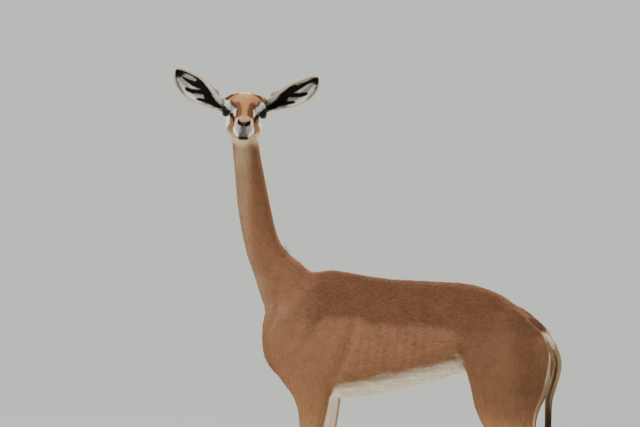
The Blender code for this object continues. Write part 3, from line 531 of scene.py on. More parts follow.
# joints and tendons: height, reach, how far the skin is raised, and the way it has to face there
legForm = {
    "fore": ((0.352, 0.013, 0.0016, "side"), (0.356, 0.017, 0.0014, "front"),
             (0.342, 0.008, 0.0016, "back"), (0.322, 0.01, -0.0007, "side"),
             (0.385, 0.012, -0.0006, "side"), (0.108, 0.011, 0.0013, "side")),
    "hind": ((0.392, 0.012, 0.0017, "side"), (0.418, 0.01, 0.0022, "back"), (0.36, 0.01, -0.0006, "side"),
             (0.372, 0.012, 0.0008, "front"), (0.108, 0.011, 0.0013, "side")),
    "groove": {"behind": 0.0032, "radius": 0.0032, "depth": 0.0013, "fore": 0.315, "hind": 0.345},
    "heelCord": {"low": 0.435, "high": 0.57, "inset": 0.0125, "radius": 0.0065, "depth": 0.0032},
}


def legLift(points, normals):
    x, y, z = points.T
    lift = np.zeros(len(points))
    ways = {"side": np.abs(normals[:, 1]), "front": -normals[:, 0], "back": normals[:, 0]}
    for name, (path, _, _) in guides.items():
        if "leg" not in name:
            continue
        line = (path - np.array(shift))[::-1]
        kind = name[:4]
        mine = (np.sign(y) == np.sign(line[0, 1])) & ((x < foreRear) == (kind == "fore")) & (z < 0.6)
        forward = np.interp(z, line[:, 2], line[:, 0]) - x
        for height, reach, amount, facing in legForm[kind]:
            lift += mine * amount * np.exp(-((z - height) / reach) ** 2) * smooth(ways[facing], 0.3, 0.85)
        groove = legForm["groove"]
        span = smooth(z, 0.118, 0.15) * (1 - smooth(z, groove[kind] - 0.035, groove[kind]))
        lift -= (mine * groove["depth"] * span * smooth(ways["side"], 0.35, 0.75)
                 * np.exp(-((forward + groove["behind"]) / groove["radius"]) ** 2))
        if kind == "hind":
            cord = legForm["heelCord"]
            rows = np.clip(((z - cord["low"]) / 0.009).astype(int), 0, 16)
            inside = mine & (z > cord["low"]) & (z < cord["high"])
            rear = np.array([x[inside & (rows == k)].max(initial=-1) for k in range(17)])[rows]
            span = smooth(z, cord["low"], cord["low"] + 0.03)
            span *= 1 - smooth(z, cord["high"] - 0.05, cord["high"])
            lift -= (inside * cord["depth"] * span * smooth(ways["side"], 0.3, 0.7)
                     * np.exp(-((rear - x - cord["inset"]) / cord["radius"]) ** 2))
    return lift


def bodySkin():
    body = voxelSkin("skin", [fleshCopy(n, bodyForm["grow"]) for n in flesh if not n.startswith("ear")],
                     bodyForm["voxel"])
    mesh = body.data
    points = pointsOf(mesh) - np.array(shift)
    trunk = smooth(points[:, 2], 0.56, 0.66) * (points[:, 0] < 0.6)
    evenOut(mesh, 34, 0.12 + 0.88 * trunk)
    points, normals = pointsOf(mesh) - np.array(shift), normalsOf(mesh)
    folded = oneSide(points, 1)
    strokes = list(bodyStrokes)
    for k in range(ribs["count"]):
        x = ribs["from"] + ribs["step"] * k
        strokes.append((((x, 0.1, 0.85), (x + 0.012, 0.108, 0.76), (x - 0.004, 0.098, 0.672)),
                        ribs["radius"], ribs["height"]))
    high = points[:, 2] > 0.52
    moved = points.copy()
    moved[high] = points[high] + (sculpt(folded[high], normals[high], strokes) - folded[high])
    moved += normals * legLift(points, normals)[:, None]
    depth = 0.0009 + 0.0011 * smooth(points[:, 2], 0.35, 0.62) + bodyForm["grow"]
    setPoints(mesh, moved - normals * depth[:, None] + np.array(shift))
    return body


headStrokes = (
    (((0.036, 0.1, -0.049), (0.043, 0.07, -0.06), (0.041, 0.03, -0.058)), 0.006, 0.0014),
    (((0.036, 0.046, -0.009), (0.041, 0.074, -0.014), (0.037, 0.092, -0.021)), 0.005, 0.001),
    (((0.041, 0.02, -0.022), (0.04, 0.034, -0.02)), 0.01, -0.0016),
    (((0.034, 0.102, -0.036), (0.031, 0.116, -0.04)), 0.0042, -0.0016),
    (((0.027, 0.112, -0.08), (0.034, 0.06, -0.096), (0.034, 0.02, -0.098)), 0.007, 0.0013),
    (((0.037, 0.06, -0.078), (0.038, 0.02, -0.07)), 0.016, 0.0015),
    (((0.036, 0.084, -0.07),), 0.009, -0.0014),
    (((0.024, 0.13, -0.056), (0.026, 0.105, -0.062)), 0.008, -0.0016),
    (((0.012, 0.15, -0.0165), (0.014, 0.11, -0.01)), 0.0045, 0.0008),
    (((0.0, 0.15, -0.017), (0.0, 0.06, -0.003)), 0.006, -0.0006),
    (((0.0165, 0.188, -0.029), (0.0175, 0.19, -0.04)), 0.0035, 0.0012),
    (((0.0, 0.201, -0.03), (0.0, 0.201, -0.044), (0.0, 0.2, -0.069)), 0.0013, -0.0016),
    (((0.007, 0.2, -0.056), (0.014, 0.196, -0.06)), 0.005, 0.0012),
)
mouth = {
    "corner": 0.12, "front": 0.1935, "dropCorner": -0.066, "dropFront": -0.0718,
    "widths": ((0.12, 0.15, 0.176, 0.1935), (0.026, 0.0245, 0.0205, 0.013)),
    "depth": 0.0032, "radius": 0.00125, "lip": 0.001, "frontDepth": 0.003, "frontRadius": 0.002,
}
nostril = {"at": (0.01, 0.1945, -0.0333), "halfWidth": 0.0027, "halfHeight": 0.0074, "tilt": -44.0,
           "bend": 14.0, "depth": 0.009, "wing": 0.0011, "inwards": (-0.25, -1.0, 0.1),
           "pad": ((0.013, 0.196, -0.031), (0.0, 0.2, -0.033), (0.0, 0.199, -0.06))}


def lipLine():
    # the line between the lips, from the middle of the front back to the corner, on one side
    points = []
    for share in np.linspace(0, 1, 21):
        forward = mouth["corner"] + (mouth["front"] - mouth["corner"]) * (1 - share**2.6)
        half = np.interp(forward, *mouth["widths"])
        drop = mouth["dropFront"] + (mouth["dropCorner"] - mouth["dropFront"]) * share**2
        points.append((half * min(1, share * 2.4) ** 0.6, forward, drop))
    return points


def inNostril(folded):
    # place in the slit's bent oval, 1 at its edge, and how far in front of it
    away = folded - np.array(nostril["at"])
    c, s = math.cos(math.radians(nostril["tilt"])), math.sin(math.radians(nostril["tilt"]))
    across, rise = away[:, 0] * c + away[:, 2] * s, -away[:, 0] * s + away[:, 2] * c
    across = across + nostril["bend"] * rise * rise
    return np.hypot(across / nostril["halfWidth"], rise / nostril["halfHeight"]), away[:, 1]


def headSkin():
    turn = headAxes.to_3x3()
    side, up = turn @ Vector((1, 0, 0)), turn @ Vector((0, 0, 1))
    rings = []
    for forward, top, bottom, halfWidth, taper, power in denser(skull["rows"], 4):
        centre = headAxes @ Vector((0, forward, (top + bottom) / 2))
        rings.append(ring(centre, side, up, halfWidth, (top - bottom) / 2, taper, power, 48))
    pieces = [tube("skull", rings)]
    rows = denser(skull["neck"], 4)
    ways = np.gradient(rows[:, :2], axis=0)
    rings = []
    for (x, z, halfDepth, halfWidth, twist), (wx, wz) in zip(rows, ways):
        way = Vector((wx, 0, wz)).normalized()
        spin = Matrix.Rotation(math.radians(twist), 3, way)
        across = spin @ Vector((0, 1, 0))
        front = spin @ Vector((0, 1, 0)).cross(way)
        rings.append(ring(Vector((x, 0, z)) + shift, across, front, halfWidth, halfDepth, -0.04, 2.15, 48))
    pieces.append(tube("neck top", rings))
    for side, forward, rise, *radii in skull["forms"]:
        for sign in ((1, -1) if side else (1,)):
            place = Matrix.Translation((side * sign, forward, rise))
            pieces.append(ball("form", headAxes @ place, radii, 40))
    lid = eyeForm["radius"] + eyeForm["lid"]
    for name, sign in sides.items():
        pieces.append(ball("lids", eyeAxes(sign), (lid, lid, lid), 48))
        pieces.append(earShell(name))
    head = voxelSkin("head skin", pieces, skull["voxel"])
    mesh = head.data
    local = inHead(pointsOf(mesh))
    earness = np.zeros(len(local))
    for name in sides:
        share, _, _, far = earPlace(pointsOf(mesh), name)
        earness = np.maximum(earness, smooth(share, 0.16, 0.34) * (far < 0.012))
    evenOut(mesh, 16, 1 - 0.75 * earness)
    evenOut(mesh, 12, (1 - earness) * (1 - smooth(local[:, 1], 0.17, 0.19)), keepSize=False)
    # the ears' roots flow into the crown
    around = np.linalg.norm(oneSide(local, 0) - np.array(skull["earCorner"]), axis=1)
    evenOut(mesh, 40, (1 - earness) * (1 - smooth(around, 0.018, 0.034)), keepSize=False)

    local, normals = inHead(pointsOf(mesh)), normalsOf(mesh) @ headTurnArray
    folded = oneSide(local, 0)
    sign = np.where(local[:, 0] < 0, -1.0, 1.0)
    inward = normals.copy()
    inward[:, 0] *= sign
    nearEye = np.linalg.norm(folded - np.array(eyeForm["at"]), axis=1)
    folded = sculpt(folded, inward * (1 - earness)[:, None], headStrokes)
    # the coat's depth, less on the muzzle, the ears and round the eyes
    depth = 0.001 - 0.0007 * np.maximum(earness, 1 - smooth(nearEye, 0.019, 0.025))
    depth -= 0.0006 * smooth(folded[:, 1], 0.165, 0.185)
    folded -= inward * np.maximum(depth, 0.0002)[:, None]

    # lips, closed
    far, _ = strokeDistance(folded, lipLine())
    lips = (1 - earness) * mouth["lip"] * np.exp(-((far - 0.0042) / 0.0026) ** 2)
    middle = 1 - smooth(folded[:, 0], 0.004, 0.011)
    groove = np.exp(-(far / (mouth["radius"] + mouth["frontRadius"] * middle)) ** 2)
    groove *= mouth["depth"] + mouth["frontDepth"] * middle
    folded += inward * (lips - groove)[:, None]

    # nostrils, slits that open to the side and bend up
    oval, ahead = inNostril(folded)
    front = (np.abs(ahead) < 0.016) & (inward[:, 1] > -0.2)
    hole = (1 - smooth(oval**2, 0.55, 1.25)) * front
    wing = np.exp(-((oval - 1.45) / 0.35) ** 2) * front * nostril["wing"]
    folded += inward * wing[:, None]
    folded += np.array(nostril["inwards"]) * (hole * nostril["depth"])[:, None]

    # lids: the skin steps down to the eye inside an almond, with a crease round it
    x, y, z = inEye(folded)
    almond = (x / eyeForm["halfLength"]) ** 2 + (np.abs(y - 0.0006) / eyeForm["halfHeight"]) ** 1.7
    floorZ = np.sqrt(np.maximum((eyeForm["radius"] - 0.0028) ** 2 - x**2 - y**2, 1e-8))
    opening = (1 - smooth(almond, 0.84, 1.16)) * (z > 0)
    drop = np.minimum(floorZ - z, 0) * opening
    folded += eyeOut * drop[:, None]
    reach = np.hypot(x / 0.0185, y / 0.015)
    crease = np.exp(-((reach - 1) / 0.09) ** 2) * smooth(y, -0.004, 0.006) * (z > 0)
    rim = np.exp(-((almond - 1.35) / 0.25) ** 2) * (z > 0)
    folded += eyeOut * (0.0005 * rim - 0.0011 * crease)[:, None]

    folded[:, 0] *= sign
    setPoints(mesh, folded @ headTurnArray.T + headOrigin)
    evenOut(mesh, 1)
    return head


def joinSkins(body, head):
    # the two skins meet at a level seam in the neck, bridged and evened out
    cutAt(body.data, skull["seam"] - 0.0012, False)
    cutAt(head.data, skull["seam"] + 0.0012, True)
    bm = bmesh.new()
    bm.from_mesh(body.data)
    bm.from_mesh(head.data)
    border = [e for e in bm.edges if e.is_boundary]
    bmesh.ops.bridge_loops(bm, edges=border)
    bmesh.ops.recalc_face_normals(bm, faces=bm.faces[:])
    bm.to_mesh(body.data)
    bm.free()
    bpy.data.objects.remove(head)
    height = pointsOf(body.data)[:, 2]
    evenOut(body.data, 24, 1 - smooth(np.abs(height - skull["seam"]), 0.006, 0.022))
    return body


skin = joinSkins(bodySkin(), headSkin())
skin.data.shade_smooth()
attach(skin, "root")
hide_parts(*flesh)
print("skin made,", len(skin.data.polygons), "faces")


grain = {"across": 620.0, "along": 70.0}  # how fine the streaks are, per metre


def readLie(points, normals):
    # way of the hair, streak place, place in the unwrap and name of the region, for each point
    way, streak = np.zeros((len(points), 3)), np.zeros((len(points), 3))
    total, strongest = np.zeros(len(points)), np.zeros(len(points))
    region = np.full(len(points), "trunk", dtype=object)
    patch = np.zeros((len(points), 2))
    for name, (path, reach, (left, low, width, height)) in guides.items():
        far, share, tangent, offset, length = alongGuide(points, path)
        strength = (reach / np.maximum(far, 0.002)) ** 5
        if name == "head":
            strength *= smooth(inHead(points)[:, 1], -0.06, -0.015) * 3 + 1e-6
        if name == "tail":
            strength *= smooth(points[:, 0] - shift.x, 0.51, 0.53) * 40 + 1e-9
        total += strength
        way += strength[:, None] * tangent
        place = offset * grain["across"] + tangent * (share * length * grain["along"])[:, None]
        streak += strength[:, None] * place
        winner = strength > strongest
        strongest[winner] = strength[winner]
        region[winner] = name
        side = unit(np.cross(tangent, (0.0, 1.0, 0.0)))
        turn = np.arctan2(offset[:, 1], (offset * side).sum(axis=1)) / (2 * math.pi) + 0.5
        patch[winner] = np.stack([left + width * turn, low + height * share], axis=1)[winner]
    streak /= total[:, None]
    for name in sides:
        root, along, opens, across = (np.array(v) for v in earAxes(name))
        share, turn, reach, far = earPlace(points, name)
        onEar = (far < 0.01) & (share > -0.02)
        earWay = along + 0.35 * across * np.clip(turn, -1, 1)[:, None]
        blend = (smooth(share, 0.02, 0.14) * onEar)[:, None]
        way = unit(way) * (1 - blend) + earWay * blend
        away = points - root
        less = grain["across"] - grain["along"]
        place = away * grain["across"] - (away @ along)[:, None] * along * less
        streak = streak * (1 - blend) + place * blend
        inner = reach < 1 - 0.0011 / 0.03
        for inside in (False, True):
            left, low, width, height = earPatch[name, inside]
            chosen = onEar & (share > 0.03) & (inner == inside)
            spot = np.stack([left + width * (0.5 + 0.45 * np.clip(turn, -1.1, 1.1)),
                             low + height * np.clip(share, 0, 1)], axis=1)
            patch[chosen] = spot[chosen]
            region[chosen] = "ear_" + name + ("_inner" if inside else "_outer")
    way -= normals * (way * normals).sum(axis=1)[:, None]
    return unit(way), streak, patch, region


# the coat's colours, one table of tones and tables of strokes laid over each other in turn
tone = {
    "flank": (0.24, 0.115, 0.062), "saddle": (0.152, 0.066, 0.035), "neckSide": (0.225, 0.105, 0.053),
    "neckFront": (0.3, 0.185, 0.112), "belly": (0.76, 0.7, 0.6), "leg": (0.29, 0.15, 0.074),
    "cream": (0.64, 0.5, 0.33), "white": (0.9, 0.87, 0.81), "grey": (0.47, 0.465, 0.44),
    "rust": (0.1, 0.028, 0.011), "tan": (0.38, 0.168, 0.068), "brown": (0.24, 0.13, 0.072),
    "dark": (0.03, 0.016, 0.011), "black": (0.007, 0.006, 0.006), "pad": (0.016, 0.016, 0.017),
    "padTop": (0.36, 0.27, 0.2), "peach": (0.47, 0.26, 0.14), "earGrey": (0.4, 0.395, 0.36),
    "earBack": (0.29, 0.18, 0.095), "throat": (0.4, 0.3, 0.18), "muzzle": (0.082, 0.081, 0.086),
    "lipGrey": (0.36, 0.355, 0.35), "thigh": (0.16, 0.076, 0.04),
    "kneeBrush": (0.09, 0.046, 0.024), "buttock": (0.13, 0.06, 0.032),
}
# path in the head's axes on one side, inner and outer radius, tone, strength
headMarks = (
    (((0.02, 0.15, -0.088), (0.03, 0.08, -0.1), (0.03, 0.035, -0.104)), 0.01, 0.024, "cream", 0.9),
    (((0.0, 0.15, -0.085), (0.0, 0.02, -0.108)), 0.018, 0.03, "cream", 0.9),
    (((0.043, 0.052, -0.074), (0.04, 0.03, -0.09)), 0.006, 0.014, "cream", 0.9),
    (((0.027, 0.13, -0.038), (0.03, 0.114, -0.06), (0.034, 0.085, -0.08)), 0.008, 0.016, "brown", 1.0),
    (((0.04, 0.094, -0.047), (0.042, 0.076, -0.052), (0.041, 0.052, -0.064)), 0.0095, 0.0155, "white", 1.0),
    (((0.0, 0.03, 0.0), (0.0, 0.06, -0.002)), 0.02, 0.034, "tan", 0.9),
    (((0.028, 0.052, -0.006), (0.024, 0.076, -0.01)), 0.005, 0.012, "rust", 0.55),
    (((0.0225, 0.078, -0.0115), (0.0195, 0.092, -0.015), (0.0175, 0.11, -0.0185), (0.015, 0.13, -0.022),
      (0.0135, 0.152, -0.0235)), 0.0068, 0.0148, "rust", 1.0),
    (((0.0, 0.05, -0.001), (0.0, 0.12, -0.012), (0.0, 0.166, -0.02)), 0.0038, 0.01, "tan", 1.0),
    (((0.05, 0.034, -0.019), (0.049, 0.054, -0.017), (0.047, 0.068, -0.0165), (0.0415, 0.081, -0.0195),
      (0.035, 0.092, -0.025), (0.029, 0.104, -0.0305)), (0.0088, 0.0072), 0.0042, "grey", 1.0),
    (((0.048, 0.03, -0.022), (0.05, 0.006, -0.025)), 0.005, 0.015, "grey", 0.9),
    (((0.048, 0.06, -0.011), (0.045, 0.044, -0.01)), 0.0022, 0.0085, "white", 0.7),
    (((0.04, 0.078, -0.017), (0.035, 0.089, -0.0205), (0.03, 0.098, -0.024)), 0.0082, 0.0118, "grey", 1.0),
    (((0.0248, 0.097, -0.0235), (0.0245, 0.108, -0.0278), (0.025, 0.116, -0.032)),
     0.002, 0.0046, "white", 1.0),
    (((0.036, 0.096, -0.0345), (0.0305, 0.108, -0.035), (0.0275, 0.117, -0.038), (0.026, 0.126, -0.043)),
     (0.004, 0.0032), 0.0034, "dark", 1.0),
    (((0.0262, 0.126, -0.044), (0.0255, 0.145, -0.0475), (0.025, 0.158, -0.05)),
     (0.003, 0.0015), 0.0055, "dark", 0.75),
    (((0.043, -0.014, -0.015), (0.034, -0.016, -0.0075), (0.02, -0.014, -0.0015), (0.0, -0.01, 0.001)),
     0.0085, 0.014, "cream", 0.95),
    (((0.044, 0.002, -0.0175), (0.0385, 0.004, -0.0115), (0.029, 0.005, -0.005), (0.0215, 0.002, -0.0015),
      (0.016, -0.002, 0.0005)), 0.0042, 0.0072, "dark", 1.0),
    (((-0.008, 0.004, 0.001), (0.008, 0.004, 0.001)), 0.004, 0.011, "cream", 0.9),
    (((0.0225, 0.034, -0.006), (0.013, 0.046, -0.003)), 0.0036, 0.011, "brown", 0.9),
    (((0.0225, 0.034, -0.006),), 0.003, 0.0115, "dark", 0.6),
    (((0.037, 0.026, -0.013), (0.035, 0.05, -0.009), (0.0335, 0.068, -0.0095), (0.0305, 0.084, -0.014)),
     0.003, 0.0066, "dark", 0.9),
    (((0.016, 0.17, -0.028), (0.008, 0.175, -0.023), (0.0, 0.176, -0.0215)), 0.0042, 0.008, "peach", 1.0),
    (((0.023, 0.165, -0.035), (0.0225, 0.178, -0.042), (0.023, 0.168, -0.06)), 0.007, 0.014, "cream", 1.0),
    (((0.0, 0.19, -0.056), (0.012, 0.186, -0.056)), 0.01, 0.015, "lipGrey", 1.0),
    (((0.012, 0.194, -0.043), (0.014, 0.19, -0.056)), 0.005, 0.0085, "lipGrey", 1.0),
    (((0.019, 0.188, -0.044), (0.02, 0.186, -0.052)), 0.003, 0.0085, "cream", 0.8),
    (((0.024, 0.181, -0.053), (0.0185, 0.19, -0.06), (0.015, 0.193, -0.062)), 0.004, 0.0085, "white", 1.0),
    (((0.0105, 0.19, -0.0255), (0.0, 0.194, -0.026)), 0.0048, 0.008, "padTop", 1.0),
    (((0.0125, 0.196, -0.033), (0.0, 0.2, -0.035)), 0.0046, 0.0068, "pad", 1.0),
    (((0.0, 0.2, -0.035), (0.0, 0.199, -0.046)), 0.0034, 0.0066, "pad", 1.0),
    (((0.0, 0.199, -0.045), (0.0, 0.198, -0.055), (0.0, 0.197, -0.064)),
     (0.0026, 0.0068), 0.006, "muzzle", 1.0),
    (((0.0, 0.194, -0.083), (0.013, 0.188, -0.082), (0.02, 0.172, -0.08)), 0.0085, 0.012, "cream", 1.0),
    # black at the front of the closed mouth: painted shade of the mouth's opening
    (((-0.007, 0.196, -0.0708), (0.007, 0.196, -0.0708)), 0.0034, 0.0058, "black", 1.0),
    (((0.027, 0.05, -0.101),), 0.0028, 0.006, "dark", 0.85),
)
# on the ears: share of the length and place across, +1 at the upper edge
earMarks = {
    "both": (
        (((0.52, 0.66), (0.34, 0.34), (0.16, 0.1)), (0.004, 0.008), 0.007, "white", 0.85),
        (((0.88, -0.4), (0.7, -0.64), (0.46, -0.84)), (0.002, 0.0044), 0.006, "white", 0.8),
        (((0.8, 0.05), (0.66, -0.1)), (0.001, 0.003), 0.005, "white", 0.7),
        (((0.62, 0.46), (0.54, 0.28), (0.47, 0.05), (0.38, -0.16)), (0.0074, 0.0108), 0.0035, "black", 1.0),
        (((0.4, -0.14), (0.28, -0.34), (0.16, -0.44), (0.04, -0.5)), (0.01, 0.0048), 0.003, "black", 1.0),
        (((0.72, -0.48), (0.64, -0.38), (0.54, -0.18), (0.48, -0.04)),
         (0.0042, 0.006), 0.0034, "black", 1.0),
        (((0.5, -0.66), (0.42, -0.54), (0.32, -0.42)), (0.0026, 0.006), 0.004, "black", 1.0),
        (((0.36, -0.7), (0.2, -0.96)), (0.0008, 0.0012), 0.0018, "black", 0.9),
        (((0.7, -0.97), (0.84, -0.9), (0.94, -0.7), (0.99, -0.3), (1.0, 0.3), (0.97, 0.6)),
         (0.0014, 0.008), 0.0034, "black", 1.0),
        (((0.95, -0.2), (0.92, 0.4)), (0.008, 0.0092), 0.005, "black", 1.0),
    ),
    "right": (
        (((0.97, 0.5), (0.9, 0.72), (0.76, 0.78), (0.66, 0.7), (0.57, 0.46)),
         (0.0064, 0.004), 0.003, "black", 1.0),
        (((0.84, 0.05), (0.76, 0.08), (0.68, 0.12), (0.56, 0.24)), (0.0034, 0.0096), 0.0034, "black", 1.0),
    ),
    "left": (
        (((0.97, 0.6), (0.87, 0.38), (0.75, 0.26), (0.64, 0.18), (0.54, 0.14)),
         (0.0062, 0.008), 0.003, "black", 1.0),
        (((0.98, 0.8), (0.88, 0.92)), (0.0022, 0.001), 0.0022, "black", 1.0),
        (((0.64, 0.6), (0.76, 0.48)), (0.0016, 0.001), 0.003, "black", 0.75),
    ),
}
# on the body, in its tables' axes on one side
bodyMarks = (
    (((0.42, 0.095, 0.72), (0.47, 0.09, 0.64)), 0.06, 0.13, "thigh", 0.8),
    (((0.5, 0.075, 0.79), (0.505, 0.085, 0.72), (0.5, 0.08, 0.64)), 0.012, 0.05, "buttock", 0.8),
    (((0.536, 0.0, 0.748), (0.54, 0.014, 0.72), (0.53, 0.018, 0.66), (0.505, 0.014, 0.6)),
     0.02, 0.028, "belly", 1.0),
    (((0.546, 0.034, 0.728), (0.541, 0.037, 0.68), (0.53, 0.036, 0.64)), 0.003, 0.008, "belly", 0.95),
)


def wobble(points, size):
    # small unrest at three scales, so that no marking has a ruled edge
    waves = np.array(((310, 470, 230), (-520, 260, 410), (370, -330, 560)), float)
    moved = np.zeros_like(points)
    for scale, share in ((0.45, 0.5), (1.13, 0.5), (2.71, 0.35)):
        moved += share * np.sin(points @ (waves.T * scale) + np.array((0.3, 1.7, 4.1)) * scale
                                + 1.3 * np.sin(points @ (waves[::-1].T * scale * 0.63)))
    return size * moved


def paint(colours, points, marks):
    for path, inner, outer, name, strength in marks:
        far, along = strokeDistance(points, path)
        if isinstance(inner, tuple):  # a stroke that grows wider or narrower along its path
            soft = outer
            inner = np.interp(along, (0, 1), inner)
            outer = inner + soft
        t = np.clip((far - inner) / (outer - inner), 0, 1)
        mask = strength * (1 - t * t * (3 - 2 * t))
        colours += mask[:, None] * (np.array(tone[name]) - colours)


def mix(colours, mask, name):
    colours += np.asarray(mask)[:, None] * (np.array(tone[name]) - colours)


markings = {
    # the saddle's lower edge and how it falls behind, legs, knees, neck and throat by height
    "saddleEdge": 0.8, "saddleFall": 0.09, "saddleFront": (-0.1, 0.0), "legTop": (0.5, 0.64),
    "rearOfLegs": 0.545, "knee": (0.35, 0.02), "neck": (0.86, 0.98), "throat": (1.15, 1.24),
    # the way the neck's front turns to the side, by height
    "turnAt": (0.93, 1.03, 1.09, 1.155, 1.21, 1.255), "turn": (5, 22, 42, 62, 82, 97),
    "bodyUnrest": 0.0012, "faceUnrest": 0.0007, "earUnrest": 0.0007, "earHalf": 0.042,
}


def bodyColours(design, normals):
    x, y, z = design.T
    colours = np.tile(tone["flank"], (len(design), 1))
    edge = markings["saddleEdge"] - markings["saddleFall"] * np.clip(x - 0.05, 0, 0.4)
    edge += 0.006 * np.sin(31 * x) + 0.003 * np.sin(83 * x + 1)
    mix(colours, smooth(z, edge - 0.01, edge + 0.012) * smooth(x, *markings["saddleFront"]), "saddle")
    lower = smooth(-normals[:, 2], 0.42, 0.78) * smooth(z, 0.52, 0.58)
    mix(colours, lower * smooth(x, -0.13, -0.06), "belly")
    onLegs = x < markings["rearOfLegs"]
    mix(colours, (1 - smooth(z, *markings["legTop"])) * onLegs, "leg")
    middle = np.zeros(len(design))
    for name in legs:
        line = guides[name][0] - np.array(shift)
        mine = (np.sign(y) == np.sign(line[0, 1])) & ((x < foreRear) == ("fore" in name))
        middle = np.where(mine, np.sign(line[0, 1]) * normals[:, 1], middle)
    pale = smooth(-middle, 0.25, 0.85) * (1 - smooth(z, 0.66, 0.72)) * (0.1 + 0.78 * smooth(z, 0.38, 0.58))
    mix(colours, pale * onLegs, "belly")
    mix(colours, 0.45 * smooth(-normals[:, 0], 0.2, 0.9) * (1 - smooth(z, 0.3, 0.48)) * onLegs, "thigh")
    height, reach = markings["knee"]
    knee = np.exp(-((z - height) / reach) ** 2) * (x < foreRear)
    mix(colours, knee * smooth(-normals[:, 0], 0.25, 0.75), "kneeBrush")
    mix(colours, smooth(z, *markings["neck"]) * (x < 0.05), "neckSide")
    spin = np.radians(np.interp(z, markings["turnAt"], markings["turn"]))
    facing = -np.cos(spin) * normals[:, 0] - np.sin(spin) * normals[:, 1]
    before = x < -0.02
    mix(colours, smooth(facing, 0.3, 0.85) * smooth(z, 0.72, 0.9) * before * 0.9, "neckFront")
    mix(colours, smooth(facing, 0.55, 0.95) * smooth(z, *markings["throat"]) * before * 0.8, "throat")
    paint(colours, oneSide(design, 1) + wobble(design, markings["bodyUnrest"]), bodyMarks)
    return colours


def faceColours(local):
    # the face's colours, and where it is bare
    folded = oneSide(local, 0)
    face = np.tile(tone["brown"], (len(local), 1))
    mix(face, 1 - smooth(local[:, 1], 0.005, 0.065), "neckSide")
    mix(face, smooth(local[:, 2], -0.05, -0.02), "tan")
    paint(face, folded + wobble(local, markings["faceUnrest"]), headMarks)
    x, y, z = inEye(folded)
    almond = np.sqrt((x / eyeForm["halfLength"]) ** 2 + (y / eyeForm["halfHeight"]) ** 2)
    mix(face, (1 - smooth(almond + 0.1 * y / 0.01, 1.14, 1.46)) * (z > 0), "black")
    corner, _ = strokeDistance(folded, eyeForm["corner"])
    mix(face, 1 - smooth(corner, 0.0034, 0.0062), "black")
    lips, _ = strokeDistance(folded, lipLine())
    mix(face, (1 - smooth(lips, 0.0012, 0.0034)) * smooth(folded[:, 1], 0.125, 0.165), "black")
    # black in and round the nostrils: the bare nose's own black round the slits, and painted shade inside
    # them
    oval, ahead = inNostril(folded)
    mix(face, (1 - smooth(oval, 1.0, 1.5)) * (ahead > -0.02), "black")
    pad, _ = strokeDistance(folded, nostril["pad"])
    bare = np.maximum.reduce([
        1 - smooth(pad, 0.005, 0.0075),
        (1 - smooth(almond, 1.05, 1.3)) * (z > 0),
        (1 - smooth(lips, 0.001, 0.0022)) * (folded[:, 1] > 0.14),
    ])
    return face, bare


def earColours(points, normals, name):
    # an ear's colours and how much of each point belongs to it, and the painted shade deep in its canal
    root, along, opens, across = (np.array(v) for v in earAxes(name))
    share, turn, reach, far = earPlace(points, name)
    outside = np.tile(tone["earBack"], (len(points), 1))
    mix(outside, smooth(share, 0.8, 0.98), "dark")
    mix(outside, 0.8 * (1 - smooth(share, 0.12, 0.28)), "brown")
    inside = np.tile(tone["earGrey"], (len(points), 1))
    mix(inside, smooth(turn, -0.25, 0.25) * (1 - smooth(share, 0.5, 0.7)), "white")
    mix(inside, smooth(-turn, 0.78, 0.97) * (1 - smooth(share, 0.8, 0.95)), "cream")
    mix(inside, smooth(-turn, 0.0, 0.4) * (1 - smooth(share, 0.12, 0.26)), "dark")
    flat = np.stack([share * ear["length"], turn * markings["earHalf"], np.zeros(len(points))], axis=1)
    flat[:, :2] += wobble(points, markings["earUnrest"])[:, :2]
    for path, *rest in earMarks["both"] + earMarks[name]:
        paint(inside, flat, (([(a * ear["length"], b * markings["earHalf"], 0) for a, b in path], *rest),))
    skinSide = smooth(reach, 0.945, 0.975) * (1 - smooth(share, 0.26, 0.42))
    front = (smooth(normals @ opens, -0.25, 0.1) * (1 - skinSide))[:, None]
    whole = outside * (1 - front) + inside * front
    rim = smooth(np.abs(turn), 0.9, 1.0) * (1 - smooth(share, 0.9, 0.99))
    mix(whole, rim * 0.8, "cream")
    foot = smooth(share, 0.03, 0.06) * (1 - smooth(share, 0.16, 0.24))
    mix(whole, smooth(turn, 0.86, 0.97) * foot * 0.9, "dark")
    # the hollow at the ear's root facing inwards gets painted shade: black deep in the canal
    radial = points - root - np.outer((points - root) @ along, along)
    hollow = (share > -0.02) & (reach < 0.96) & ((normals * radial).sum(axis=1) < 0)
    return whole, smooth(share, 0.02, 0.1) * (far < 0.01), (1 - smooth(share, 0.08, 0.2)) * hollow


def readCoat(points, normals):
    # colour and bareness at each point of the skin
    design, local = points - np.array(shift), inHead(points)
    colours = bodyColours(design, normals)
    border = 0.004 * np.sin(90 * design[:, 0] + 1) * np.sin(75 * design[:, 1])
    onHead = smooth(local[:, 1], -0.05, -0.01) * smooth(local[:, 2] + border, -0.142, -0.106)
    close = onHead > 0
    face, faceBare = faceColours(local[close])
    held = onHead[close, None]
    colours[close] = colours[close] * (1 - held) + face * held
    bare = np.zeros(len(points))
    bare[close] = faceBare
    for name in sides:
        whole, onEar, canalShade = earColours(points, normals, name)
        colours = colours * (1 - onEar)[:, None] + whole * onEar[:, None]
        # painted shade: the canal's hollow turned black
        mix(colours, canalShade, "black")
    return colours, np.clip(bare, 0, 1)


points, normals = pointsOf(skin.data), normalsOf(skin.data)
lie, streak, patch, region = readLie(points, normals)
colours, bare = readCoat(points, normals)


def colourLayer(mesh, name, colours):
    layer = mesh.color_attributes.new(name, "FLOAT_COLOR", "POINT")
    values = np.column_stack([np.clip(colours, 0, 1), np.ones(len(colours))])
    layer.data.foreach_set("color", values.astype(np.float32).ravel())


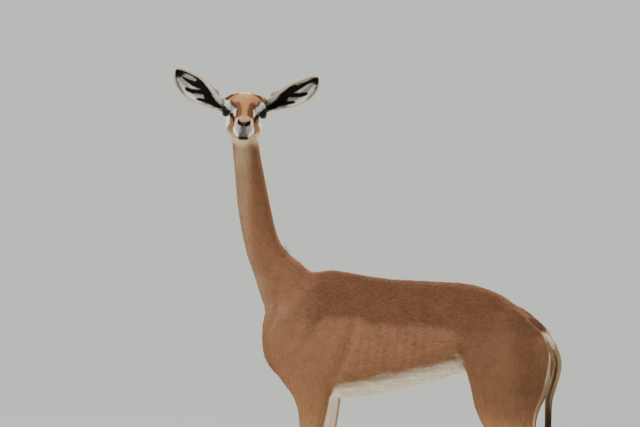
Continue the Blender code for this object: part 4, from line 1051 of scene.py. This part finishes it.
def giveColours(mesh, colours, streak, bare):
    colourLayer(mesh, "coat", colours)
    places = mesh.attributes.new("streak", "FLOAT_VECTOR", "POINT")
    places.data.foreach_set("vector", streak.astype(np.float32).ravel())
    mesh.attributes.new("bare", "FLOAT", "POINT").data.foreach_set("value", bare.astype(np.float32))


giveColours(skin.data, colours, streak, bare)
print("markings painted")


# materials
def toneGroup():
    # hair tone: streaks along the lie of the coat and soft patches over the body
    tree = bpy.data.node_groups.new("hair tone", "ShaderNodeTree")
    tree.interface.new_socket("Color", in_out="INPUT", socket_type="NodeSocketColor")
    for name in ("Streaks", "Patches"):
        tree.interface.new_socket(name, in_out="INPUT", socket_type="NodeSocketFloat")
    tree.interface.new_socket("Color", in_out="OUTPUT", socket_type="NodeSocketColor")
    tree.interface.new_socket("Height", in_out="OUTPUT", socket_type="NodeSocketFloat")
    put, link = tree.nodes.new, tree.links.new
    start, end = put("NodeGroupInput"), put("NodeGroupOutput")
    place = put("ShaderNodeAttribute")
    place.attribute_name = "streak"
    fine, broad, where = put("ShaderNodeTexNoise"), put("ShaderNodeTexNoise"), put("ShaderNodeTexCoord")
    fine.inputs["Scale"].default_value, fine.inputs["Detail"].default_value = 1.0, 4.0
    broad.inputs["Scale"].default_value, broad.inputs["Detail"].default_value = 26.0, 3.0
    link(place.outputs["Vector"], fine.inputs["Vector"])
    link(where.outputs["Object"], broad.inputs["Vector"])
    last = None
    for noise, amount in ((fine, "Streaks"), (broad, "Patches")):
        centre, scaled = put("ShaderNodeMath"), put("ShaderNodeMath")
        centre.operation, centre.inputs[1].default_value = "SUBTRACT", 0.5
        scaled.operation = "MULTIPLY"
        link(noise.outputs["Fac"], centre.inputs[0])
        link(centre.outputs[0], scaled.inputs[0])
        link(start.outputs[amount], scaled.inputs[1])
        add = put("ShaderNodeMath")
        add.operation, add.inputs[1].default_value = "ADD", 1.0
        link(scaled.outputs[0], add.inputs[0])
        if last:
            link(last, add.inputs[1])
        last = add.outputs[0]
    tint = put("ShaderNodeVectorMath")
    tint.operation = "SCALE"
    link(start.outputs["Color"], tint.inputs[0])
    link(last, tint.inputs["Scale"])
    link(tint.outputs[0], end.inputs["Color"])
    link(fine.outputs["Fac"], end.inputs["Height"])
    return tree


hairTone = toneGroup()
coatLook = {"streaks": 0.95, "patches": 0.35, "bump": 0.55, "bumpDepth": 0.0009, "roughness": 0.8,
            "bareRoughness": 0.42, "sheen": 0.015, "sheenRoughness": 0.5, "sheenTint": (1.0, 0.86, 0.68, 1),
            "shine": 0.05, "bareShine": 0.28}


def coatMaterial(name, bumpy):
    material, shader, put, link = newMaterial(name)
    colour, bareness, tones = put("ShaderNodeAttribute"), put("ShaderNodeAttribute"), put("ShaderNodeGroup")
    colour.attribute_name, bareness.attribute_name = "coat", "bare"
    tones.node_tree = hairTone
    tones.inputs["Streaks"].default_value = coatLook["streaks"]
    tones.inputs["Patches"].default_value = coatLook["patches"]
    link(colour.outputs["Color"], tones.inputs["Color"])
    link(tones.outputs["Color"], shader.inputs["Base Color"])
    finish = put("ShaderNodeMapRange")
    finish.inputs["To Min"].default_value = coatLook["roughness"]
    finish.inputs["To Max"].default_value = coatLook["bareRoughness"]
    link(bareness.outputs["Fac"], finish.inputs["Value"])
    link(finish.outputs["Result"], shader.inputs["Roughness"])
    shader.inputs["Sheen Weight"].default_value = coatLook["sheen"]
    shader.inputs["Sheen Roughness"].default_value = coatLook["sheenRoughness"]
    shader.inputs["Sheen Tint"].default_value = coatLook["sheenTint"]
    shine = "bareShine" if name == "bare skin" else "shine"
    shader.inputs["Specular IOR Level"].default_value = coatLook[shine]
    if bumpy:
        bump = put("ShaderNodeBump")
        bump.inputs["Strength"].default_value = coatLook["bump"]
        bump.inputs["Distance"].default_value = coatLook["bumpDepth"]
        link(tones.outputs["Height"], bump.inputs["Height"])
        link(bump.outputs["Normal"], shader.inputs["Normal"])
    return material


skin.data.materials.clear()
skin.data.materials.append(coatMaterial("short coat", True))
skin.data.materials.append(coatMaterial("bare skin", True))
corners = np.empty(len(skin.data.loops), np.int32)
skin.data.loops.foreach_get("vertex_index", corners)
starts = np.empty(len(skin.data.polygons), np.int32)
skin.data.polygons.foreach_get("loop_start", starts)
skin.data.polygons.foreach_set("material_index", (bare[corners[starts]] > 0.5).astype(np.int32))
tuftMaterial = coatMaterial("coat tufts", False)


# the coat: pointed tufts over the skin, three-sided, that lie along the hair's way
patchHalf = 0.0014  # half a tuft's patch on the unwrap
fur = {"usual": 0.0082, "belly": 0.003, "neck": -0.0016, "legs": -0.0036, "feet": -0.0016, "head": 0.0052,
       "muzzle": -0.0026, "ears": 0.005, "earEdges": 0.0032}
tuft = {"sink": 0.0004, "crest": 0.38, "bendAt": 0.55, "narrow": 0.72, "lower": 0.9, "ownNormal": 0.7,
        "unrest": 0.1, "tip": 0.08}


def hairLengths(points, normals, region):
    z, local = (points - np.array(shift))[:, 2], inHead(points)
    length = np.full(len(points), fur["usual"])
    length += fur["belly"] * smooth(-normals[:, 2], 0.3, 0.9) * smooth(z, 0.55, 0.62)
    length += fur["neck"] * smooth(z, 0.9, 1.0)
    length += fur["legs"] * (1 - smooth(z, 0.35, 0.6))
    length += fur["feet"] * (1 - smooth(z, 0.05, 0.12))
    onHead = smooth(local[:, 1], -0.04, 0.02) * smooth(z, 1.225, 1.27)
    length = length * (1 - onHead) + fur["head"] * onHead
    length += onHead * fur["muzzle"] * smooth(local[:, 1], 0.08, 0.18)
    onEar = np.char.startswith(region.astype(str), "ear")
    length[onEar] = fur["ears"]
    for name in sides:
        share, turn, _, _ = earPlace(points, name)
        edge = onEar & ((np.abs(turn) > 0.88) | (share > 0.93)) & (np.sign(local[:, 0]) == sides[name])
        length[edge] = fur["earEdges"]
    return length


def hairPiece(name, mesh, faces, colours, streak, patch, offsets):
    # each tuft or strand is a patch of its own round its root's place on the unwrap
    giveColours(mesh, colours, np.repeat(streak, len(offsets), axis=0), np.zeros(len(colours)))
    uv = np.clip((patch[:, None, :] + offsets[None]).reshape(-1, 2), 0.0005, 0.9995)
    layer = mesh.uv_layers.new(name="OFBake")
    layer.data.foreach_set("uv", uv[faces.ravel()].astype(np.float32).ravel())
    mesh.materials.append(tuftMaterial)
    piece = linked(name, mesh)
    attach(piece, "root")
    return piece


def plantTufts(name, roots, normals, lie, length, width, lift, colours, streak, patch, random, bent=True):
    count = len(roots)
    side = np.cross(lie, normals)
    start = roots - normals * tuft["sink"]
    rise = np.sin(lift)[:, None] * normals + np.cos(lift)[:, None] * lie
    half, crest = (width / 2)[:, None] * side, (width * tuft["crest"])[:, None] * normals
    middle = start + rise * (length * tuft["bendAt"])[:, None]
    tip = middle + (rise * 0.55 + lie * 0.5 - normals * 0.1) * (length * (1 - tuft["bendAt"]))[:, None]
    if bent:
        rings = [start - half, start + half, start + crest, middle - half * tuft["narrow"],
                 middle + half * tuft["narrow"], middle + crest * tuft["lower"], tip]
        pattern = ((0, 3, 4), (0, 4, 1), (1, 4, 5), (1, 5, 2), (2, 5, 3), (2, 3, 0),
                   (3, 6, 4), (4, 6, 5), (5, 6, 3))
    else:
        rings = [start - half, start + half, start + crest, tip]
        pattern = ((0, 3, 1), (1, 3, 2), (2, 3, 0))
    per = len(rings)
    verts = np.stack(rings, axis=1).reshape(-1, 3)
    faces = (np.arange(count)[:, None, None] * per + np.array(pattern)[None]).reshape(-1, 3)
    mesh = bpy.data.meshes.new(name)
    mesh.vertices.add(len(verts))
    mesh.vertices.foreach_set("co", verts.astype(np.float32).ravel())
    mesh.loops.add(faces.size)
    mesh.loops.foreach_set("vertex_index", faces.astype(np.int32).ravel())
    mesh.polygons.add(len(faces))
    mesh.polygons.foreach_set("loop_start", np.arange(0, faces.size, 3, dtype=np.int32))
    mesh.update(calc_edges=True)
    mesh.shade_smooth()
    # most of the skin's own normal, so that a flat tuft is lit as the coat is
    made, own = normalsOf(mesh), np.repeat(normals, per, axis=0)
    share = tuft["ownNormal"]
    mesh.normals_split_custom_set_from_vertices(unit(made * (1 - share) + own * share))
    shade = np.clip(1 + tuft["unrest"] * random[:, None], 0.6, 1.4)
    tones = np.repeat((colours * shade)[:, None, :], per, axis=1)
    tones[:, -1] = colours * (shade + tuft["tip"])
    offsets = (((-1, -1), (1, -1), (0, -1), (-1, 0.2), (1, 0.2), (0, 0.2), (0, 1)) if bent
               else ((-1, -1), (1, -1), (0, -1), (0, 1)))
    hairPiece(name, mesh, faces, tones.reshape(-1, 3), streak, patch, np.array(offsets) * patchHalf)


# tufts on a square metre, and their width as a share of their length
# the pairs are a least value and what is added to it
coat = {"trunk": (105000, 0.13), "neck": (230000, 0.135), "leg": (130000, 0.165), "head": (460000, 0.17),
        "ear": (420000, 0.16), "tail": (260000, 0.15), "seed": 11,
        # the loose hairs' paleness is partly the coat's pale tips and partly painted rim light, with more
        # painted rim light on the ridge
        "unrest": 0.16, "lengths": (0.75, 0.5), "widths": (0.8, 0.4), "lifts": (5, 7), "loose": 0.14,
        "looseLift": 11, "looseLength": 1.15, "looseTipsAndRimLight": 0.05, "ridgePaintedRimLight": 0.05}


def growCoat():
    rng = np.random.default_rng(coat["seed"])
    mesh = skin.data
    mesh.calc_loop_triangles()
    triangles = np.empty(len(mesh.loop_triangles) * 3, np.int32)
    mesh.loop_triangles.foreach_get("vertices", triangles)
    triangles = triangles.reshape(-1, 3)
    corners = points[triangles]
    edges = corners[:, 1:] - corners[:, :1]
    areas = np.linalg.norm(np.cross(edges[:, 0], edges[:, 1]), axis=1) / 2
    kinds = region.astype(str)[triangles[:, 0]]
    length = hairLengths(points, normals, region)
    density = np.zeros(len(triangles))
    share = np.zeros(len(triangles))
    for word in ("trunk", "neck", "leg", "head", "ear", "tail"):
        mine = np.char.find(kinds, word) >= 0
        density[mine], share[mine] = coat[word]
    density *= 1 - np.clip(bare[triangles].mean(axis=1) * 1.6, 0, 1)
    weight = areas * density
    sums = np.cumsum(weight)
    count = int(sums[-1])
    picks = np.searchsorted(sums, (np.arange(count) + rng.random(count)) * sums[-1] / count)
    picks = np.minimum(picks, len(triangles) - 1)
    a, b = rng.random(count), rng.random(count)
    flip = a + b > 1
    a[flip], b[flip] = 1 - a[flip], 1 - b[flip]
    mixing = np.stack([1 - a - b, a, b], axis=1)

    def at(field):
        values = field[triangles[picks]]
        return (values * (mixing[:, :, None] if values.ndim == 3 else mixing)).sum(axis=1)

    where, up = at(points), unit(at(normals))
    way = at(lie) + coat["unrest"] * rng.standard_normal((count, 3))
    way = unit(way - up * (way * up).sum(axis=1)[:, None])
    (low, more), (narrow, wider), (flat, steeper) = coat["lengths"], coat["widths"], coat["lifts"]
    long = at(length) * (low + more * rng.random(count))
    wide = long * share[picks] * (narrow + wider * rng.random(count))
    lift = np.radians(flat + steeper * rng.random(count))
    shade = rng.standard_normal(count)
    kind = kinds[picks]
    x = where[:, 0] - shift.x
    pieces = {
        "coat_head": kind == "head",
        "coat_ears": np.char.find(kind, "ear_") >= 0,
        "coat_neck": kind == "neck",
        "coat_tail": kind == "tail",
        "coat_forelegs": np.char.find(kind, "foreleg") >= 0,
        "coat_hindlegs": np.char.find(kind, "hindleg") >= 0,
    }
    for label, low, high in (("chest", -9, 0.1), ("barrel", 0.1, 0.27), ("rump", 0.27, 9)):
        for sideName, sign in sides.items():
            onSide = (where[:, 1] - shift.y) * sign >= 0
            pieces["coat_" + label + "_" + sideName] = (kind == "trunk") & (x >= low) & (x < high) & onSide
    colour, place, spot = at(colours), at(streak), patch[triangles[picks][:, 0]]
    upper = (kind == "neck") | ((kind == "trunk") & (where[:, 2] > 0.62)) | (kind == "tail")
    loose = (rng.random(count) < coat["loose"]) & upper
    lift[loose] += math.radians(coat["looseLift"])
    long[loose] *= coat["looseLength"]
    # loose hairs are paler: partly the coat's pale tips, partly painted rim light; those facing up along
    # the ridge are paler still, a painted rim light along the back
    pale = coat["looseTipsAndRimLight"] + coat["ridgePaintedRimLight"] * smooth(up[loose][:, 2], 0.8, 0.97)
    colour[loose] += pale[:, None] * (np.array(tone["cream"]) - colour[loose])
    for name, chosen in pieces.items():
        short = name in ("coat_head", "coat_ears", "coat_forelegs", "coat_hindlegs")
        plantTufts(name, where[chosen], up[chosen], way[chosen], long[chosen], wide[chosen], lift[chosen],
                   colour[chosen], place[chosen], spot[chosen], shade[chosen], bent=not short)
        print(" ", name, int(chosen.sum()), "tufts")


growCoat()
print("coat grown")


# eyes: a ball with a raised cornea, dark iris and a level pupil
eyeLook = {"segments": 72, "irisRadius": 0.0102, "pupilHalfWidth": 0.0052, "pupilHalfHeight": 0.0021,
           "bulge": 0.001, "iris": (0.01, 0.006, 0.004), "irisEdge": (0.004, 0.003, 0.003),
           "pupil": (0.001, 0.001, 0.002), "white": (0.008, 0.006, 0.005), "roughness": 0.05, "shine": 0.11}
eyeMaterial, eyeShader, put, link = newMaterial("wet eye")
eyeColour = put("ShaderNodeAttribute")
eyeColour.attribute_name = "iris"
link(eyeColour.outputs["Color"], eyeShader.inputs["Base Color"])
eyeShader.inputs["Roughness"].default_value = eyeLook["roughness"]
eyeShader.inputs["Specular IOR Level"].default_value = eyeLook["shine"]
for name, sign in sides.items():
    axes, rim = eyeAxes(sign), eyeLook["irisRadius"]
    bm = bmesh.new()
    bmesh.ops.create_uvsphere(bm, u_segments=eyeLook["segments"], v_segments=eyeLook["segments"] // 2,
                              radius=eyeForm["radius"])
    local = np.array([v.co for v in bm.verts])
    off, around = np.hypot(local[:, 0], local[:, 1]), np.arctan2(local[:, 1], local[:, 0])
    raised = eyeLook["bulge"] * np.clip(1 - (off / (rim * 1.08)) ** 2, 0, 1) * (local[:, 2] > 0)
    ray = 1 + 0.25 * np.sin(around * 37 + 2 * np.sin(around * 5)) * np.sin(off * 900)
    iris = np.tile(eyeLook["iris"], (len(local), 1)) * ray[:, None]
    pupil = ((np.abs(local[:, 0]) / eyeLook["pupilHalfWidth"]) ** 3
             + (np.abs(local[:, 1]) / eyeLook["pupilHalfHeight"]) ** 2.4)
    masks = {"irisEdge": smooth(off, rim * 0.7, rim), "pupil": 1 - smooth(pupil, 0.85, 1.15),
             "white": np.maximum(smooth(off, rim, rim + 0.0012), local[:, 2] < 0)}
    for hue, mask in masks.items():
        iris += mask[:, None] * (np.array(eyeLook[hue]) - iris)
    for v, lift in zip(bm.verts, raised):
        v.co = axes @ (v.co * (1 + lift / eyeForm["radius"]))
    ballPiece = fromBmesh("eyeball_" + name, bm)
    colourLayer(ballPiece.data, "iris", iris)
    ballPiece.data.shade_smooth()
    ballPiece.data.materials.append(eyeMaterial)
    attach(ballPiece, "root")
    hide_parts("eye_" + name)
print("eyes made")

# hooves and dewclaws: worn horn with growth rings, one piece to a foot
hoof = {"voxel": 0.0011, "rings": 0.00012, "ringStep": 0.0021, "grain": (160, 160, 620),
        "colour": (0.02, 0.016, 0.013, 1), "edge": (0.042, 0.033, 0.025, 1), "roughness": (0.34, 0.58),
        "bumpDepth": 0.0004, "slope": 0.005, "narrow": 0.32, "heel": 0.13}


def hornMaterial():
    material, shader, put, link = newMaterial("hoof horn")
    where, stretch, noise = put("ShaderNodeTexCoord"), put("ShaderNodeMapping"), put("ShaderNodeTexNoise")
    stretch.inputs["Scale"].default_value = hoof["grain"]
    noise.inputs["Scale"].default_value, noise.inputs["Detail"].default_value = 1.0, 4.0
    link(where.outputs["Object"], stretch.inputs["Vector"])
    link(stretch.outputs["Vector"], noise.inputs["Vector"])
    colour = put("ShaderNodeMix")
    colour.data_type = "RGBA"
    colour.inputs["A"].default_value, colour.inputs["B"].default_value = hoof["colour"], hoof["edge"]
    worn = put("ShaderNodeMapRange")
    worn.inputs["From Min"].default_value, worn.inputs["From Max"].default_value = 0.45, 0.85
    link(noise.outputs["Fac"], worn.inputs["Value"])
    link(worn.outputs["Result"], colour.inputs["Factor"])
    link(colour.outputs["Result"], shader.inputs["Base Color"])
    finish = put("ShaderNodeMapRange")
    finish.inputs["To Min"].default_value, finish.inputs["To Max"].default_value = hoof["roughness"]
    link(noise.outputs["Fac"], finish.inputs["Value"])
    link(finish.outputs["Result"], shader.inputs["Roughness"])
    bump = put("ShaderNodeBump")
    bump.inputs["Distance"].default_value, bump.inputs["Strength"].default_value = hoof["bumpDepth"], 0.5
    link(noise.outputs["Fac"], bump.inputs["Height"])
    link(bump.outputs["Normal"], shader.inputs["Normal"])
    return material


horn = hornMaterial()
for leg in legs:
    parts = [leg + part for part in ("_claw_inner", "_claw_outer", "_dewclaw_inner", "_dewclaw_outer")]
    bm = bmesh.new()
    for part in parts:
        one = voxelSkin(part + "_horn", [fleshCopy(part, 0.0)], hoof["voxel"])
        evenOut(one.data, 10)
        evenOut(one.data, 20 if "_claw" in part else 9, keepSize=False)
        spots, ups = pointsOf(one.data), normalsOf(one.data)
        if "_claw" in part:
            # the toe narrows and slopes back, the heel is lower
            low, high = spots.min(axis=0), spots.max(axis=0)
            back, rise = (spots[:, 0] - low[0]) / (high[0] - low[0]), spots[:, 2] / high[2]
            inwards = (low[1] + high[1]) / 2 - spots[:, 1]
            spots[:, 0] += hoof["slope"] * rise * (1 - back)
            spots[:, 1] += inwards * hoof["narrow"] * (1 - smooth(back, 0.0, 0.5))
            spots[:, 2] *= 1 - hoof["heel"] * smooth(back, 0.35, 1.0)
        waves = np.sin(2 * math.pi * (spots[:, 2] + 0.15 * spots[:, 0]) / hoof["ringStep"])
        spots += ups * (hoof["rings"] * waves * smooth(spots[:, 2], 0.002, 0.006))[:, None]
        spots[:, 2] = np.maximum(spots[:, 2], 0)
        setPoints(one.data, spots)
        bm.from_mesh(one.data)
        bpy.data.objects.remove(one)
    foot = fromBmesh("hooves_" + leg, bm)
    foot.data.shade_smooth()
    foot.data.materials.append(horn)
    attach(foot, "root")
    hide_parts(*parts)
print("hooves made")


# long hair: strands with several bends, from a root along a way of their own
def uneven(rng, length, shortest, more, count):
    # a length for each strand, from shortest to shortest + more as shares of the usual one
    return (length * (shortest + more * rng.random(count)))[:, None, None]


def strands(name, roots, ways, width, colours, normals):
    # ways: for each strand its centre line as offsets from the root
    count, rings = len(roots), ways.shape[1]
    centre = roots[:, None, :] + ways
    tangent = unit(np.gradient(centre, axis=1))
    side = unit(np.cross(tangent, normals[:, None, :]))
    top = unit(np.cross(side, tangent))
    half = (width / 2 * np.linspace(1, 0, rings)[:, None] ** 0.7).T[:, :, None]
    corners = []
    for a in np.radians((90, 210, 330)):
        corners.append(centre + (side * math.cos(a) + top * math.sin(a)) * half)
    verts = np.stack(corners, axis=2)[:, :-1].reshape(count, -1, 3)
    verts = np.concatenate([verts, centre[:, -1:]], axis=1)
    pattern = []
    for r in range(rings - 2):
        for k in range(3):
            a, b, c, d = r * 3 + k, r * 3 + (k + 1) % 3, r * 3 + 3 + (k + 1) % 3, r * 3 + 3 + k
            pattern += [(a, b, c), (a, c, d)]
    last = (rings - 2) * 3
    pattern += [(last + k, last + (k + 1) % 3, last + 3) for k in range(3)] + [(0, 2, 1)]
    per = verts.shape[1]
    faces = (np.arange(count)[:, None, None] * per + np.array(pattern)[None]).reshape(-1, 3)
    mesh = bpy.data.meshes.new(name)
    mesh.from_pydata(verts.reshape(-1, 3), [], faces)
    mesh.shade_smooth()
    _, streakHere, patchHere, _ = readLie(roots, normals)
    spread = np.linspace(-patchHalf, patchHalf, per)
    return hairPiece(name, mesh, faces, np.repeat(colours, per, axis=0), streakHere, patchHere,
                     np.stack([spread[::-1], spread], axis=1))


# the tail: hair down its whole length, spread to the sides, black at the end
tailHair = {"strands": 1250, "width": 0.0013, "seed": 23, "end": ((0.548, 0.0, 0.54), (0.544, 0.0, 0.486)),
            "length": (0.045, 0.095), "radius": (0.009, 0.0062), "spread": 0.0045, "inner": 0.015,
            "outer": 0.0035}


def makeTailTuft():
    rng = np.random.default_rng(tailHair["seed"])
    count = tailHair["strands"]
    line = designLine(denser(tailRows + tailHair["end"], 8))
    lengths = np.linalg.norm(np.diff(line, axis=0), axis=1)
    starts = np.concatenate([[0], np.cumsum(lengths)])
    share = 0.13 + 0.66 * rng.random(count) ** 0.85
    short, longest = tailHair["length"]
    long = short + (longest - short) * rng.random(count) * smooth(share, 0.1, 0.6)
    steps = np.linspace(0, 1, 7)
    ends = starts[-1] * (1 - 0.1 * rng.random(count))
    along = np.minimum(share[:, None] * starts[-1] + long[:, None] * steps, ends[:, None])
    spine = np.stack([np.interp(along, starts, line[:, k]) for k in range(3)], axis=2)
    tangent = unit(spine[:, 1] - spine[:, 0])
    sideways = np.array((0.0, 1.0, 0.0))
    angle = rng.random(count) * 2 * math.pi
    spread, depth = np.cos(angle)[:, None], np.sin(angle)[:, None]
    backward = unit(np.cross(tangent, sideways))
    outward = spread * sideways + depth * backward
    radius = np.interp(share, (0.1, 0.8), tailHair["radius"])[:, None]
    behind = np.where(depth < 0, tailHair["inner"] * (1.1 - share[:, None]), tailHair["outer"])
    flare = spread * sideways * tailHair["spread"] + depth * backward * behind
    steps = steps[None, :, None]
    path = (spine + outward[:, None, :] * radius[:, None] * (1 - 0.45 * steps)
            + flare[:, None, :] * (steps * (1.5 - 0.8 * steps)))
    tip = smooth(share + 0.1 * rng.standard_normal(count), 0.52, 0.68)[:, None]
    band = np.abs(depth[:, 0] + 0.25 + 0.12 * rng.standard_normal(count))
    stripe = (0.85 * (1 - smooth(band, 0.16, 0.34)))[:, None]
    colour = np.array(tone["cream"]) * 0.55 + np.array(tone["leg"]) * 0.45
    colour = colour * (1 - stripe) + np.array(tone["kneeBrush"]) * stripe
    colour = colour * (1 - tip) + np.array(tone["black"]) * 1.5 * tip
    piece = strands("tail_hair", path[:, 0], path - path[:, :1], np.full(count, tailHair["width"]),
                    colour * (0.75 + 0.5 * rng.random(count))[:, None], outward)
    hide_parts("tail_tuft")


makeTailTuft()

# long pale hair inside the ears and a soft fringe on their edges
earHair = {"inner": 700, "fringe": 1300, "length": 0.012, "fringeLength": 0.0062, "width": 0.0007,
           "seed": 31}


def makeEarHair():
    rng = np.random.default_rng(earHair["seed"])
    for name in sides:
        root, along, opens, across = (np.array(v) for v in earAxes(name))
        mine = np.char.find(region.astype(str), "ear_" + name) >= 0
        share, turn, _, _ = earPlace(points, name)
        bright = colours.mean(axis=1)
        inner = mine & (normals @ opens > 0.25) & (bright > 0.22)
        inner &= (share > 0.08) & (share < 0.9) & (np.abs(turn) < 0.9)
        rim = mine & (np.abs(turn) > 0.9) & (share > np.where(turn > 0, 0.27, 0.1)) & (share < 0.97)
        chosen = np.concatenate([rng.choice(np.flatnonzero(inner), earHair["inner"], replace=False),
                                 rng.choice(np.flatnonzero(rim), earHair["fringe"], replace=False)])
        within = np.arange(len(chosen)) < earHair["inner"]
        long = np.where(within, earHair["length"], earHair["fringeLength"])
        long = long * (0.6 + 0.6 * rng.random(len(chosen)))
        up, way = normals[chosen], lie[chosen]
        edge = np.sign(turn[chosen])[:, None] * across * (np.abs(turn[chosen]) > 0.5)[:, None]
        steps = np.linspace(0, 1, 5)[None, :, None]
        hue = colours[chosen] * 1.15
        hue[earHair["inner"]:] = 0.25 * hue[earHair["inner"]:] + 0.75 * np.array(tone["cream"])
        line = (way[:, None, :] * steps + up[:, None, :] * 0.45 * steps * (1.15 - steps)
                + edge[:, None, :] * 0.35 * steps)
        strands("ear_hair_" + name, points[chosen] - up * 0.0004, line * long[:, None, None],
                np.full(len(chosen), earHair["width"]), np.clip(hue, 0, 0.9), up)


makeEarHair()

# longer hair over the hooves' upper edges, on the knees and where the nape starts
brushes = {"coronet": 330, "coronetLength": 0.01, "knee": 240, "kneeLength": 0.0115, "nape": 26,
           "napeLength": 0.013, "napeAt": (-0.116, 0.0, 0.969), "width": 0.0008, "seed": 53}


def makeBrushes():
    rng = np.random.default_rng(brushes["seed"])
    design = points - np.array(shift)
    steps = np.linspace(0, 1, 5)[None, :, None]
    level = normals * (1, 1, 0)
    chosen, lines, hues = [], [], []
    for name, (path, _, _) in guides.items():
        if "leg" not in name:
            continue
        mine = np.flatnonzero(region == name)
        lowest = design[mine, 2].min()
        outer = (normals[mine, 2] > -0.6) & (np.linalg.norm(level[mine], axis=1) > 0.5)
        rim = mine[(design[mine, 2] < lowest + 0.013) & outer]
        picked = rng.choice(rim, brushes["coronet"])
        way = np.array((0, 0, -1.0)) + 0.3 * level[picked]
        way = unit(way + 0.12 * rng.standard_normal((len(picked), 3)))
        curl = level[picked][:, None, :] * 0.22 * steps * (1 - steps)
        chosen.append(picked)
        long = uneven(rng, brushes["coronetLength"], 0.65, 0.6, len(picked))
        lines.append((way[:, None, :] * steps + curl) * long)
        hues.append(colours[picked] * 1.05)
        if "fore" in name:
            front = mine[(np.abs(design[mine, 2] - 0.35) < 0.02) & (-normals[mine, 0] > 0.45)]
            picked = rng.choice(front, brushes["knee"])
            way = unit(lie[picked] + 0.3 * normals[picked] + 0.1 * rng.standard_normal((len(picked), 3)))
            curl = -normals[picked][:, None, :] * 0.16 * steps**2
            chosen.append(picked)
            long = uneven(rng, brushes["kneeLength"], 0.6, 0.6, len(picked))
            lines.append((way[:, None, :] * steps + curl) * long)
            hues.append(colours[picked] * 0.8)
    spot = np.linalg.norm(design - np.array(brushes["napeAt"]), axis=1)
    picked = rng.choice(np.argsort(spot + 0.5 * np.abs(design[:, 1]))[:60], brushes["nape"])
    way = unit(normals[picked] - 0.3 * lie[picked] + 0.2 * rng.standard_normal((len(picked), 3)))
    chosen.append(picked)
    lines.append(way[:, None, :] * steps * uneven(rng, brushes["napeLength"], 0.6, 0.6, len(picked)))
    hues.append(colours[picked] * 0.7)
    chosen, hues = np.concatenate(chosen), np.concatenate(hues)
    strands("brush_hair", points[chosen] - normals[chosen] * 0.0006, np.concatenate(lines),
            np.full(len(chosen), brushes["width"]), hues, normals[chosen])


makeBrushes()

# lashes on the upper lids
lashes = {"count": 34, "length": 0.0072, "width": 0.0005, "seed": 41}


def makeLashes():
    rng = np.random.default_rng(lashes["seed"])
    for name, sign in sides.items():
        axes = eyeAxes(sign)
        turn = np.array(axes.to_3x3())
        t = np.linspace(0.12, 0.94, lashes["count"]) * math.pi
        x, y = np.cos(t) * eyeForm["halfLength"] * 1.02, np.sin(t) * eyeForm["halfHeight"] * 1.06
        z = np.sqrt((eyeForm["radius"] + 0.0012) ** 2 - x**2 - y**2)
        roots = np.stack([x, y, z], axis=1) @ turn.T + np.array(axes.translation)
        away = np.stack([x * 30, np.abs(y) * 40 + 0.1, 0.9 + 0 * x], axis=1)
        away = unit(away + 0.12 * rng.standard_normal(away.shape)) @ turn.T
        steps = np.linspace(0, 1, 5)[None, :, None]
        curl = (turn[:, 1] * 0.5)[None, None, :] * steps**2
        line = (away[:, None, :] * steps + curl) * uneven(rng, lashes["length"], 0.75, 0.4, len(t))
        strands("lashes_" + name, roots, line, np.full(len(t), lashes["width"]),
                np.tile(tone["black"], (len(t), 1)), unit(roots - np.array(axes.translation)))


makeLashes()
print("long hair made")
